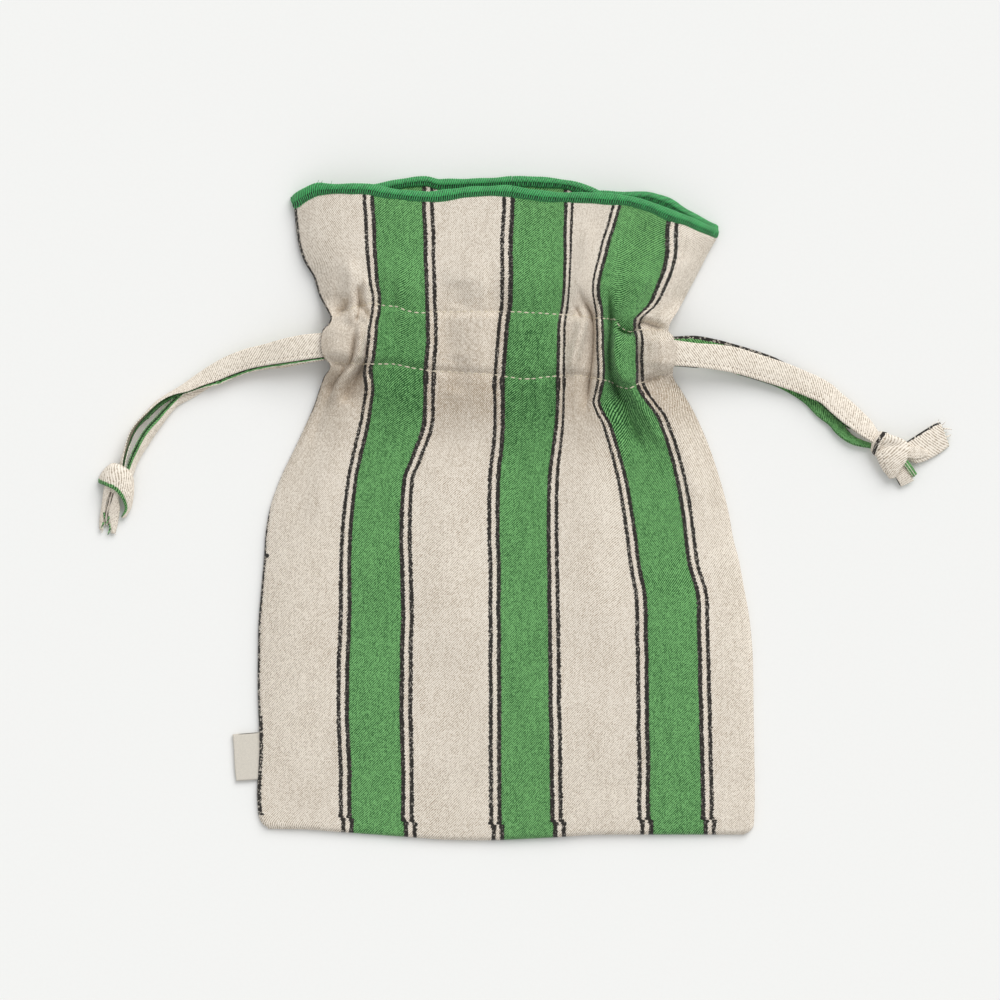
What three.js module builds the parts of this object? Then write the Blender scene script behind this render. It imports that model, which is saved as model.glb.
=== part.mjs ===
// A drawstring pouch of striped linen, lying on its back with its mouth towards +Y.
// Two cloth panels are sewn round three sides. A casing strip inside each panel makes a channel
// across the neck, and two flat tapes run through both channels, each knotted at its own side.
// Units are millimetres. The origin is in the middle of the back panel's underside.
import * as THREE from "three";

// Cloth, tape and thread
const clothThickness = 0.6;
const seamThickness = 0.6;
const seamWidth = 6;
const tapeWidth = 8;
const tapeThickness = 0.9;
const threadSize = 0.5;
const edgingWidth = 3.4;
const edgingThickness = 1.8;
const clearance = 0.3;

// Outline of the pouch as it lies, measured from the bottom seam
const bodyWidth = 189;
const neckWidth = 129;
const mouthWidth = 163;
const neckOffset = -2.5;
const channelStart = 176.5;
const channelHeight = 23;
const frillHeight = 46.5;
const backFrillExtra = 3.5;
const cornerRadius = 4;
const channelBulge = 3.2;
const taperStart = 60;
const taperPowerLeft = 2.4;
const taperPowerRight = 1.9;
const flarePower = 0.6;
const mouthDropLeft = 3.5;
const mouthDropRight = 15;

// Heights of the cloth above the table
const mouthOpening = 4.4;
const pouchLoft = 7;
const footLoft = 3.3;
const frillLift = 1.4;
const restGap = 0.2;

// Drawstring tapes
const exitLaneLeft = 8.3;
const exitLaneRight = 6.9;
const turnLane = 17.2;
const turnClimb = 20;
const exitReach = 3.4;
const turnStart = 57;
const channelSlope = 1.7;
const knotSize = 13;
const knotHeight = 7;

// Label folded into the left side seam
const labelWidth = 19;
const labelReach = 9.2;
const labelThickness = 0.35;
const labelFoldGap = 0.5;
const labelStart = 20;

// What follows from them
const channelEnd = channelStart + channelHeight;
const mouthLine = channelEnd + frillHeight;
const middle = (mouthLine + backFrillExtra) / 2;
const edgeCurl = 2 * clothThickness;
const backLift = threadSize + clearance + restGap;
const backPanelTop = backLift + clothThickness;
const tapeStep = tapeThickness + clearance;
const backTapeRight = backPanelTop + clearance + tapeThickness / 2;
const backTapeLeft = backTapeRight + tapeStep;
const backStripLevel = backTapeLeft + tapeThickness / 2 + clearance + clothThickness / 2;
const frontStripLevel = backStripLevel + mouthOpening + clothThickness;
const frontTapeLeft = frontStripLevel + clothThickness / 2 + clearance + tapeThickness / 2;
const frontTapeRight = frontTapeLeft + tapeStep;
const channelTop = frontTapeRight + tapeThickness / 2 + clearance + clothThickness / 2;
const stitchLevel = frontStripLevel + clothThickness + clearance;
const edgeLevel = clothThickness * 1.5 + clearance;
const overSeamLevel = edgeLevel + seamThickness + clearance;

const mix = THREE.MathUtils.lerp;
const { clamp, smoothstep } = THREE.MathUtils;

const materials = {
  linen: finish(0xcfc3b3, 0.95),
  green: finish(0x4b9a50, 0.9),
  thread: finish(0xd9cdb4, 0.85),
  label: finish(0xe2dace, 0.8),
};

function finish(color, roughness) {
  return new THREE.MeshStandardMaterial({ color, roughness, metalness: 0 });
}

// A smooth line through a few [place, value] stations
function curveThrough(stations) {
  const places = stations.map((station) => station[0]);
  const values = stations.map((station) => station[1]);
  const curve = new THREE.CubicInterpolant(places, values, 1);
  const last = places.length - 1;
  return (place) => curve.evaluate(clamp(place, places[0], places[last]))[0];
}

// Left (side -1) or right (side 1) edge of the cloth at a distance up from the bottom seam
function edgeAt(side, up) {
  const body = bodyWidth / 2;
  const neck = neckWidth / 2 + side * neckOffset;
  if (up < channelStart) {
    const power = side < 0 ? taperPowerLeft : taperPowerRight;
    const taper = clamp((up - taperStart) / (channelStart - taperStart), 0, 1) ** power;
    const below = clamp(cornerRadius - up, 0, cornerRadius);
    const corner = cornerRadius - Math.sqrt(cornerRadius ** 2 - below ** 2);
    return side * (mix(body, neck, taper) - corner);
  }
  if (up < channelEnd) {
    const along = (up - channelStart) / channelHeight;
    return side * (neck + channelBulge * Math.sin(Math.PI * along));
  }
  const flare = clamp((up - channelEnd) / frillHeight, 0, 1) ** flarePower;
  return side * mix(neck, mouthWidth / 2, flare);
}

// Place in plan: across runs from -1 at the left edge to 1 at the right edge
function planAt(across, up) {
  const x = mix(edgeAt(-1, up), edgeAt(1, up), (across + 1) / 2);
  const rise = Math.max(0, (up - channelEnd) / frillHeight);
  const drop = across > 0 ? mouthDropRight * across ** 2.5 : mouthDropLeft * across ** 6;
  return [x, up - middle - drop * rise ** 1.3];
}

const frontCrown = curveThrough([
  [0, overSeamLevel],
  [12, overSeamLevel + footLoft * 0.45],
  [30, overSeamLevel + footLoft],
  [60, pouchLoft],
  [100, pouchLoft + 1.3],
  [140, stitchLevel - 1],
  [channelStart - 10, stitchLevel - 0.1],
  [channelStart, stitchLevel],
  [channelEnd, stitchLevel],
  [channelEnd + 12, stitchLevel + frillLift],
  [mouthLine - 10, stitchLevel + frillLift * 0.6],
  [mouthLine, stitchLevel + frillLift * 0.3],
]);

// Gathers: place across the neck, height of the ridge and its half width
const gathers = [
  [-58, 2, 4.5],
  [-42, 1.1, 4],
  [-18, 1.3, 8],
  [3, 0.8, 6],
  [27, 2.4, 4.5],
  [43, 2, 4.5],
  [57, 1.2, 4],
];
const gatherReachDown = 70;
const gatherReachUp = 60;

// Height of the gathered ridges at a place, fading away from the neck
function gatherAt(x, up, mouthShare) {
  const below = smoothstep(up, channelStart - gatherReachDown, channelStart);
  const above = 1 - smoothstep(up, channelEnd, channelEnd + gatherReachUp) * (1 - mouthShare);
  const spread = 1 + 0.012 * Math.max(0, channelStart - up) + 0.006 * Math.max(0, up - channelEnd);
  const centres = gathers.map(([place, height, width]) => {
    const offset = (x / spread - place) / width;
    return height * Math.exp(-offset * offset);
  });
  return centres.reduce((sum, ridge) => sum + ridge, 0) * below * above;
}

// How far the side edges stand open for the tapes, from 0 to 1
function sideOpening(up) {
  const rising = smoothstep(up, channelStart - 7.5, channelStart + 3);
  return rising * (1 - smoothstep(up, channelEnd - 3, channelEnd + 7));
}

function frontPoint(across, up) {
  const [x, y] = planAt(across, up);
  const halfWidth = (edgeAt(1, up) - edgeAt(-1, up)) / 2;
  const inward = (1 - Math.abs(across)) * halfWidth;
  const curl = smoothstep(Math.min(inward, up), 0, edgeCurl);
  const dome = 1 - (1 - clamp(inward / (halfWidth * 0.45), 0, 1)) ** 3;
  const seam = mix(edgeLevel, overSeamLevel, curl) + seamLiftAt(up);
  const sewn = mix(seam, frontCrown(up), dome * curl);
  const open = mix(sewn, frontCrown(up), sideOpening(up));
  const intoChannel = smoothstep(up, channelStart, channelStart + channelSlope);
  const channel = intoChannel * (1 - smoothstep(up, channelEnd - channelSlope, channelEnd));
  const ridge = gatherAt(x, up, 0.7) * smoothstep(inward, 0, 8);
  return new THREE.Vector3(x, y, open + channel * (channelTop - stitchLevel) + ridge);
}

// The back panel's neck and frill lie a little above the table
function backLevelAt(up) {
  return clothThickness / 2 + backLift * smoothstep(up, channelStart - 28, channelStart - 6);
}

function seamLiftAt(up) {
  return backLevelAt(up) - clothThickness / 2;
}

function backPoint(across, up) {
  const stretched = channelEnd + ((up - channelEnd) * (frillHeight + backFrillExtra)) / frillHeight;
  const reach = up > channelEnd ? stretched : up;
  const [x, y] = planAt(across, reach);
  const frill = smoothstep(up, channelEnd + 3, mouthLine);
  const ripple = 0.5 + 0.5 * Math.cos(x / 7.5);
  return new THREE.Vector3(x, y, backLevelAt(up) + frill * ripple * 1.2 * (1 - across ** 4));
}

// Rows and columns of the panels' grids, closer together where the cloth turns
function panelRows() {
  const foot = [0, 1.2, 3, 8, 18, 32, 50, 68, 86, 104, 120, 134, 146, 156, 163];
  const neck = [-6.5, -3, 0, channelSlope / 2, channelSlope, channelHeight / 2];
  const neckTop = [-channelSlope, -channelSlope / 2, 0, 3.5, 7, 13, 21, 30, 39, frillHeight];
  const channelRows = neck.map((row) => channelStart + row);
  return [...foot, ...channelRows, ...neckTop.map((row) => channelEnd + row)];
}

function panelColumns(count) {
  const inner = 0.93;
  const rim = 1 - edgeCurl / (bodyWidth / 2);
  const columns = [-1, -rim, -0.965];
  for (let step = 0; step <= count; step += 1) columns.push(mix(-inner, inner, step / count));
  return [...columns, 0.965, rim, 1];
}

function normalAt(surface, across, up) {
  const step = 0.004;
  const left = surface(Math.max(-1, across - step), up);
  const right = surface(Math.min(1, across + step), up);
  const below = surface(across, Math.max(0, up - 0.2));
  const above = surface(across, up + 0.2);
  return right.sub(left).cross(above.sub(below)).normalize();
}

// A closed body from rings of equal length, joined ring to ring and capped at both ends
function loft(rings) {
  const positions = [];
  const size = rings[0].length;
  const quad = (a, b, c, d) => positions.push(...[a, b, c, a, c, d].flatMap((p) => p.toArray()));
  for (let row = 0; row + 1 < rings.length; row += 1) {
    for (let side = 0; side < size; side += 1) {
      const next = (side + 1) % size;
      quad(rings[row][side], rings[row][next], rings[row + 1][next], rings[row + 1][side]);
    }
  }
  const cap = (ring, flip) => {
    for (let side = 0; side < size / 2 - 1; side += 1) {
      const corners = [ring[side], ring[side + 1], ring[size - 2 - side], ring[size - 1 - side]];
      if (flip) corners.reverse();
      quad(...corners);
    }
  };
  cap(rings[0], true);
  cap(rings[rings.length - 1], false);
  const geometry = new THREE.BufferGeometry();
  geometry.setAttribute("position", new THREE.Float32BufferAttribute(positions, 3));
  return geometry;
}

// A sheet of cloth: each ring goes across its upper face and back along its lower face
function sheet(surface, columns, rows, thickness) {
  const rings = rows.map((up) => {
    const upper = [];
    const lower = [];
    for (const across of columns) {
      const centre = surface(across, up);
      const offset = normalAt(surface, across, up).multiplyScalar(thickness / 2);
      upper.push(centre.clone().add(offset));
      lower.unshift(centre.clone().sub(offset));
    }
    return [...lower, ...upper].reverse();
  });
  return loft(rings.map((ring) => ring.reverse()));
}

// A flat section with bevelled corners, as [across, out] pairs that go round it
function tapeSection(width, thickness) {
  const halfWidth = width / 2;
  const half = thickness / 2;
  const bevel = half * 0.6;
  return [
    [-halfWidth, -half + bevel],
    [-halfWidth + bevel, -half],
    [halfWidth - bevel, -half],
    [halfWidth, -half + bevel],
    [halfWidth, half - bevel],
    [halfWidth - bevel, half],
    [-halfWidth + bevel, half],
    [-halfWidth, half - bevel],
  ];
}

// Sweeps a section along a path, with its flat face turned towards a chosen direction at each point
function sweep(path, section, facing) {
  const rings = path.map((point, index) => {
    const before = path[Math.max(0, index - 1)];
    const after = path[Math.min(path.length - 1, index + 1)];
    const ahead = after.clone().sub(before).normalize();
    const width = facing(index).clone().cross(ahead).normalize();
    const out = ahead.clone().cross(width).normalize();
    return section.map(([across, away]) =>
      point.clone().addScaledVector(width, across).addScaledVector(out, away),
    );
  });
  return loft(rings);
}

const faceUp = () => new THREE.Vector3(0, 0, 1);

// Points at even steps along a smooth curve through chosen points
function evenPath(points, count) {
  return new THREE.CatmullRomCurve3(points).getSpacedPoints(count);
}

function node(name, geometry, material) {
  const mesh = new THREE.Mesh(geometry, material);
  mesh.name = name;
  return mesh;
}

const frontColumns = panelColumns(22);
const backColumns = panelColumns(14);

function panels() {
  const rows = panelRows();
  return [
    node("front_panel", sheet(frontPoint, frontColumns, rows, clothThickness), materials.linen),
    node("back_panel", sheet(backPoint, backColumns, rows, clothThickness), materials.linen),
  ];
}

// The casing strips close towards each other at their ends, inside the side openings
function casings() {
  const endStart = turnStart - 8;
  const endReach = turnStart + 0.5;
  const halfGap = (clothThickness + clearance) / 2;
  const meeting = (frontStripLevel + backStripLevel) / 2;
  const strip = (level, side) => (across, up) => {
    const x = across * endReach;
    const bend = clamp((Math.abs(x) - endStart) / (endReach - endStart), 0, 1);
    const end = meeting + side * halfGap;
    return new THREE.Vector3(x, up - middle, mix(level, end, 1 - Math.sqrt(1 - bend ** 2)));
  };
  const bends = [0.86, 0.89, 0.92, 0.95, 0.975, 0.99, 1];
  const columns = [...bends.map((bend) => -bend).reverse(), -0.45, 0, 0.45, ...bends];
  const rows = [channelStart + 1, channelStart + channelHeight / 2, channelEnd - 1];
  const make = (name, level, side) =>
    node(name, sheet(strip(level, side), columns, rows, clothThickness), materials.linen);
  return [
    make("front_casing", frontStripLevel, 1),
    make("back_casing", backStripLevel, -1),
  ];
}

// Overlocked edging along the mouth, beyond the cloth's own edge
function mouthEdgings() {
  const make = (name, surface, columns, lift) => {
    const path = [];
    const normals = [];
    for (const across of columns) {
      const edge = surface(across, mouthLine);
      const up = edge.clone().sub(surface(across, mouthLine - 1)).normalize();
      edge.addScaledVector(up, clearance + edgingWidth / 2);
      edge.z += lift * Math.abs(across) ** 8;
      path.push(edge);
      normals.push(normalAt(surface, across, mouthLine));
    }
    const section = tapeSection(edgingWidth, edgingThickness);
    return node(name, sweep(path, section, (index) => normals[index]), materials.green);
  };
  return [
    make("front_mouth_edging", frontPoint, frontColumns, edgingThickness - clothThickness),
    make("back_mouth_edging", backPoint, backColumns, 0),
  ];
}

// Rows of stitching that hold each casing strip to its panel
function stitchings() {
  const reach = 0.95;
  const make = (name, surface, columns, up, side) => {
    const path = [];
    for (const across of columns.filter((column) => Math.abs(column) < reach)) {
      const out = normalAt(surface, across, up).multiplyScalar(side);
      const away = clothThickness / 2 + clearance + threadSize / 2;
      path.push(surface(across, up).addScaledVector(out, away));
    }
    const half = threadSize / 2;
    const section = [
      [-half, -half],
      [half, -half],
      [half, half],
      [-half, half],
    ];
    return node(name, sweep(path, section, faceUp), materials.thread);
  };
  return [
    make("front_upper_stitching", frontPoint, frontColumns, channelEnd, 1),
    make("front_lower_stitching", frontPoint, frontColumns, channelStart, 1),
    make("back_upper_stitching", backPoint, backColumns, channelEnd, -1),
    make("back_lower_stitching", backPoint, backColumns, channelStart, -1),
  ];
}

// Seam allowances, folded inside between the two panels
function seams() {
  const inset = edgeCurl + clearance + seamWidth / 2;
  const level = clothThickness + clearance + seamThickness / 2;
  const section = tapeSection(seamWidth, seamThickness);
  const side = (name, which, from, to, steps) => {
    const path = [];
    for (let step = 0; step <= steps; step += 1) {
      const up = mix(from, to, step / steps);
      const [x, y] = planAt(which, up);
      path.push(new THREE.Vector3(x - which * inset, y, level + seamLiftAt(up)));
    }
    return node(name, sweep(path, section, faceUp), materials.linen);
  };
  const footEnd = edgeCurl + clearance + seamWidth + 2;
  const half = bodyWidth / 2 - cornerRadius;
  const foot = [-half, 0, half].map((x) => new THREE.Vector3(x, inset - middle, level));
  return [
    node("bottom_seam", sweep(foot, section, faceUp), materials.linen),
    side("left_side_seam", -1, footEnd, channelStart - 9, 14),
    side("right_side_seam", 1, footEnd, channelStart - 9, 14),
    side("left_mouth_seam", -1, channelEnd + 9, mouthLine - 2, 5),
    side("right_mouth_seam", 1, channelEnd + 9, mouthLine - 2, 5),
  ];
}

// Where a tape leaves the channels at its own side
function exitPlace(side) {
  const lane = side < 0 ? exitLaneLeft : exitLaneRight;
  const x = side * (neckWidth / 2 + exitReach) + neckOffset;
  return [x, channelStart + lane - middle];
}

// The stretch of a tape inside the channels: out along one panel, round the far side and back
function tapeLoop(name, side, frontLevel, backLevel) {
  const [exitX, exitY] = exitPlace(side);
  const farX = -side * turnStart;
  const turnY = channelStart + turnLane - middle;
  const radius = (frontLevel - backLevel) / 2;
  const centre = (frontLevel + backLevel) / 2;
  const climbX = farX + side * turnClimb;
  const lane = [
    [exitX, exitY],
    [climbX, exitY],
    [climbX - (side * turnClimb) / 2, (exitY + turnY) / 2],
  ];
  const path = lane.map(([x, y]) => new THREE.Vector3(x, y, frontLevel));
  const facings = lane.map(faceUp);
  const turns = 10;
  for (let turn = 0; turn <= turns; turn += 1) {
    const angle = (Math.PI * turn) / turns;
    const outward = -side * Math.sin(angle);
    const point = [farX + radius * outward, turnY, centre + radius * Math.cos(angle)];
    path.push(new THREE.Vector3(...point));
    facings.push(new THREE.Vector3(outward, 0, Math.cos(angle)));
  }
  for (const [x, y] of lane.reverse()) {
    path.push(new THREE.Vector3(x, y, backLevel));
    facings.push(new THREE.Vector3(0, 0, -1));
  }
  const section = tapeSection(tapeWidth, tapeThickness);
  return node(name, sweep(path, section, (index) => facings[index]), materials.linen);
}

// Free tails of the tapes, as places [out from the exit, down from the exit, above the table]
const leftFrontRoute = [
  [9, 0, 9.8],
  [15.7, 0.5, 7.9],
  [30.5, 4.1, 4.8],
  [44.2, 10.8, 3.2],
  [55.8, 19.3, 2.5],
  [65, 28, 2.4],
  [70.3, 35.3, 3],
  [74, 43.3, 4.3],
];
const leftBackRoute = [
  [9, 1.2, 2.9],
  [15.6, 3, 1.9],
  [30, 6.8, 0.8],
  [43.2, 13.4, 0.7],
  [54.2, 21.6, 0.7],
  [63, 30.2, 0.9],
  [68.5, 36.8, 1.6],
  [73.3, 43.6, 2.9],
];
const rightFrontRoute = [
  [10, 0.6, 9.8],
  [21.4, 2.7, 6.6],
  [33.2, 5.7, 4.4],
  [50.1, 11.8, 2.8],
  [57.2, 15.6, 2.5],
  [64, 21.3, 2.5],
  [70.6, 27.8, 3.4],
  [74.1, 31.1, 4.3],
];
const rightBackRoute = [
  [9.3, -1.6, 1.6],
  [21.4, -0.9, 1.1],
  [31.7, 2.3, 0.8],
  [40.4, 7.1, 0.7],
  [53.4, 17.7, 0.7],
  [59.8, 23.4, 0.8],
  [64.7, 27.6, 1.4],
  [72.1, 32.5, 2.9],
];
const leftKnotPlace = [76.9, 49.5, knotHeight / 2];
const rightKnotPlace = [78.6, 35.9, knotHeight / 2];
const tailSteps = 12;

function placeAt(side, [out, down, above]) {
  const [x, y] = exitPlace(side);
  return new THREE.Vector3(x + side * out, y - down, above);
}

function tail(name, side, level, route) {
  const start = placeAt(side, [clearance, 0, level]);
  const lead = placeAt(side, [clearance + tapeWidth / 2, 0, level]);
  const points = [lead, ...route.map((place) => placeAt(side, place))];
  const path = [start, ...evenPath(points, tailSteps)];
  return node(name, sweep(path, tapeSection(tapeWidth, tapeThickness), faceUp), materials.linen);
}

function knot(name, side, place) {
  const geometry = new THREE.SphereGeometry(knotSize / 2, 12, 8);
  geometry.scale(1, 1, knotHeight / knotSize);
  const mesh = node(name, geometry, materials.linen);
  mesh.position.copy(placeAt(side, place));
  return mesh;
}

// A cut end of a tape, from the knot down towards the table
function tailEnd(name, side, place, degrees, length, level) {
  const angle = THREE.MathUtils.degToRad(degrees);
  const ahead = new THREE.Vector3(Math.cos(angle), Math.sin(angle), 0);
  const start = knotSize / 2 + clearance;
  const centre = placeAt(side, place);
  const path = [0, 0.35, 0.7, 1].map((share) => {
    const point = centre.clone().addScaledVector(ahead, start + length * share);
    point.z = mix(level, level - knotHeight / 3.2, smoothstep(share, 0, 0.8));
    return point;
  });
  return node(name, sweep(path, tapeSection(tapeWidth, tapeThickness), faceUp), materials.linen);
}

function drawstrings() {
  const low = knotHeight / 2 - tapeStep / 2;
  const high = low + tapeStep;
  return [
    tapeLoop("left_tape_loop", -1, frontTapeLeft, backTapeLeft),
    tail("left_front_tail", -1, frontTapeLeft, leftFrontRoute),
    tail("left_back_tail", -1, backTapeLeft, leftBackRoute),
    knot("left_knot", -1, leftKnotPlace),
    tailEnd("left_front_end", -1, leftKnotPlace, -108, 12, high),
    tailEnd("left_back_end", -1, leftKnotPlace, -88, 9, low),
    tapeLoop("right_tape_loop", 1, frontTapeRight, backTapeRight),
    tail("right_front_tail", 1, frontTapeRight, rightFrontRoute),
    tail("right_back_tail", 1, backTapeRight, rightBackRoute),
    knot("right_knot", 1, rightKnotPlace),
    tailEnd("right_front_end", 1, rightKnotPlace, 22, 14, high),
    tailEnd("right_back_end", 1, rightKnotPlace, -58, 9, low),
  ];
}

// A woven label, folded in half with its fold away from the seam
function label() {
  const total = 2 * labelThickness + labelFoldGap;
  const fold = total / 2;
  const inner = fold - labelThickness;
  const outline = new THREE.Shape();
  outline.moveTo(0, -fold);
  outline.absarc(-labelReach + fold, 0, fold, -Math.PI / 2, Math.PI / 2, true);
  outline.lineTo(0, fold);
  outline.lineTo(0, inner);
  outline.absarc(-labelReach + fold, 0, inner, Math.PI / 2, -Math.PI / 2, false);
  outline.lineTo(0, -inner);
  const geometry = new THREE.ExtrudeGeometry(outline, {
    depth: labelWidth,
    bevelEnabled: false,
    curveSegments: 6,
  });
  const mesh = node("side_label", geometry, materials.label);
  mesh.rotation.x = Math.PI / 2;
  const x = edgeAt(-1, labelStart) - clearance;
  mesh.position.set(x, labelStart + labelWidth - middle, clearance + fold);
  return mesh;
}

const pouch = new THREE.Group();
pouch.add(...panels(), ...casings(), ...mouthEdgings(), ...stitchings(), ...seams());
pouch.add(...drawstrings(), label());

export default pouch;
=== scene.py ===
"""Drawstring pouch of striped linen, lying on its back: cloth, edging, stitches, tapes and label.

Lengths in the tables are millimetres. "up" is measured from the bottom seam, and "out" and
"down" from the place where a tape leaves the channel.
"""

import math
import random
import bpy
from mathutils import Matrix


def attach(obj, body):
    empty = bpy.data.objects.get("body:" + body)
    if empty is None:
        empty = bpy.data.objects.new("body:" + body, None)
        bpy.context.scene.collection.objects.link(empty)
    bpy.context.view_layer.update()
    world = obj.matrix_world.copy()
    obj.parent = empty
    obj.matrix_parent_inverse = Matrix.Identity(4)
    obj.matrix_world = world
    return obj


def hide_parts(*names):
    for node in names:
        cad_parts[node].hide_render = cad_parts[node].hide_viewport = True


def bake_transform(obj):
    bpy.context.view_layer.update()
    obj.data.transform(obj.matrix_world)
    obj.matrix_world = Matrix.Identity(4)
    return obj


bl_info = {
    "name": "Striped Drawstring Pouch",
    "version": (1, 0, 0),
    "blender": (4, 5, 0),
    "location": "3D View > Sidebar > Pouch",
    "description": "Builds a gathered linen pouch with an overlocked mouth and knotted tapes",
    "category": "Add Mesh",
}

import bmesh
import bpy
import numpy as np
from mathutils import Matrix, Vector

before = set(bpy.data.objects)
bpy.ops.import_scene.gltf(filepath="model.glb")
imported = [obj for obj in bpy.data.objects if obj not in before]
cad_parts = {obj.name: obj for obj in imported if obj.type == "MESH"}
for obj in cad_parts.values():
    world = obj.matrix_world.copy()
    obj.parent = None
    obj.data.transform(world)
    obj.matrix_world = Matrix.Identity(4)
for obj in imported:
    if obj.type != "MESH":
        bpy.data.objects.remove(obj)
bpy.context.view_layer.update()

MM = 0.001
# The part's middle, up from the bottom seam
MIDDLE = 124.75
# Up the flat cloth: the channel's two rows of stitches, and the rim
CHANNEL_START = 176.5
CHANNEL_END = 199.5
MOUTH_LINE = 246.0
# Half the flat cloth's width, and where the halves of a panel meet
HALF_WIDTH = 94.6
SPLIT = -3.1
# The sign of x and the name of each side
SIDES = ((-1, "left"), (1, "right"))

# Levels of the cloth's middle plane
BACK_LEVEL = 0.3
BACK_LIFT = 1.0
CHANNEL_PUFF = 2.4
MIDDLE_PUFF = 1.2
# How high a fold stands, to the height in its table
FOLD_GAIN = 1.2

# How high the seam allowances lie above the back panel's face
SEAM_LIFT = 0.25

# Overlocked rims: how far their middle keeps below the mouth's line, how long their round ends
# are, and where the chain of holes runs round each, from 0, at the mouth, to 10
RIM_INSET = 0.4
RIM_END = 1.6
FRONT_CHAIN = 3.3
BACK_CHAIN = 3.1

# A stitch: half its width and height, and how far its middle stands above the cloth's
STITCH_HALF_WIDTH = 0.235
STITCH_HALF_HEIGHT = 0.19
STITCH_RAISE = 0.33

# Casing strips: their ends, how far they keep from the stitches, how much of the
# panel's width they are cut to, and the room that they leave for a tape
STRIP_LEFT = -86
STRIP_RIGHT = 84
STRIP_INSET = 0.8
FRONT_STRIP_SHARE = 0.92
BACK_STRIP_SHARE = 0.85
TAPE_ROOM = 2.4

# Where each tape leaves the channel, as (x, up), and its front and back level there
EXIT = {-1: (-70.4, 184.8), 1: (65.4, 183.4)}
TAPE_LEVELS = {-1: (10.65, 3.55), 1: (11.85, 2.35)}
# How far each tape lies from its channel's outer cloth, and its lane: [x, up]
TAPE_DEPTH = {-1: 1.4, 1: 0.5}
TAPE_LANES = {
    -1: [[-52, 186.6], [-30, 187], [9, 187], [29, 186.5], [40, 185.6], [49, 184.6], [57, 184.4]],
    1: [[47, 183.6], [30, 184], [8, 184.6], [-19, 186], [-44, 187], [-57, 187.4]],
}
# How far a tape is pulled out or let in, and what the neck's width is then to its width at rest
PULLED_OUT = 29.5
LET_IN = 10
NECK_DRAWN = 0.55
NECK_EASED = 1.15

# The printed bands on the flat cloth: a band's middle and their spacing, half a green band, and
# the inner and outer line beside it, measured from the band's middle
BAND_MIDDLE = 7.4
BAND_SPACING = 56.85
GREEN_HALF = 9.6
INNER_LINE = (9.5, 11.2)
OUTER_LINE = (12.8, 14.4)

# Threads of the weave: the distance between them in the cloth, in the tapes and in the label
CLOTH_PITCH = 0.30
TAPE_PITCH = 0.35
LABEL_PITCH = 0.22

# The label: how far it stands out of the seam, and its height
LABEL_REACH = 9.9
LABEL_HEIGHT = 18

# The camera, in metres: its place, and the width that it sees at a distance below it. Its sensor
# is in millimetres.
CAMERA_PLACE = (-0.00247, 0.00293, 2.4)
SEEN_WIDTH = 0.380
SEEN_FROM = 2.392
SENSOR = 36

# The lamp's place and strength, how wide it looks in radians, and the light of the room
LAMP_PLACE = (0.5, 0.85, 0.88)
LAMP_STRENGTH = 1.9
LAMP_ANGLE = 0.8
ROOM_COLOUR = (0.985, 0.99, 1.0, 1)
ROOM_STRENGTH = 0.595

# Lines of the cloth as it lies: [up, x] down each edge of the printed bands
LEFT_EDGE = [
    [3.0, -90.6], [4.2, -92.5], [6.1, -93.7], [8.7, -94.4], [15.6, -94.8], [35.0, -94.0],
    [58.1, -94.6], [77.5, -94.4], [93.1, -93.3], [105.3, -92.2], [114.8, -91.6], [124.3, -89.9],
    [136.8, -85.5], [147.4, -80.4], [162.6, -73.5], [174.4, -69.3], [178.6, -66.9],
    [182.8, -69.6], [187.0, -70.3], [191.9, -69.7], [194.6, -67.4], [196.6, -66.8],
    [199.1, -67.8], [206.3, -71.4], [212.4, -73.2], [218.9, -77.0], [226.1, -79.2],
    [239.8, -80.8],
]
RIGHT_EDGE = [
    [0.4, 90.2], [1.5, 92.5], [3.8, 94.0], [15.6, 94.4], [42.6, 94.0], [66.1, 93.7],
    [81.3, 92.5], [94.6, 90.2], [104.9, 88.3], [112.5, 86.3], [123.9, 84.2], [147.1, 77.3],
    [161.1, 71.2], [169.5, 66.3], [175.2, 63.1], [177.5, 63.1], [180.1, 64.2], [185.1, 64.2],
    [189.6, 63.1], [191.9, 61.4], [193.8, 61.8], [199.9, 65.2], [207.5, 69.2], [215.1, 73.2],
    [222.7, 77.1], [227.6, 80.0],
]
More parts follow.
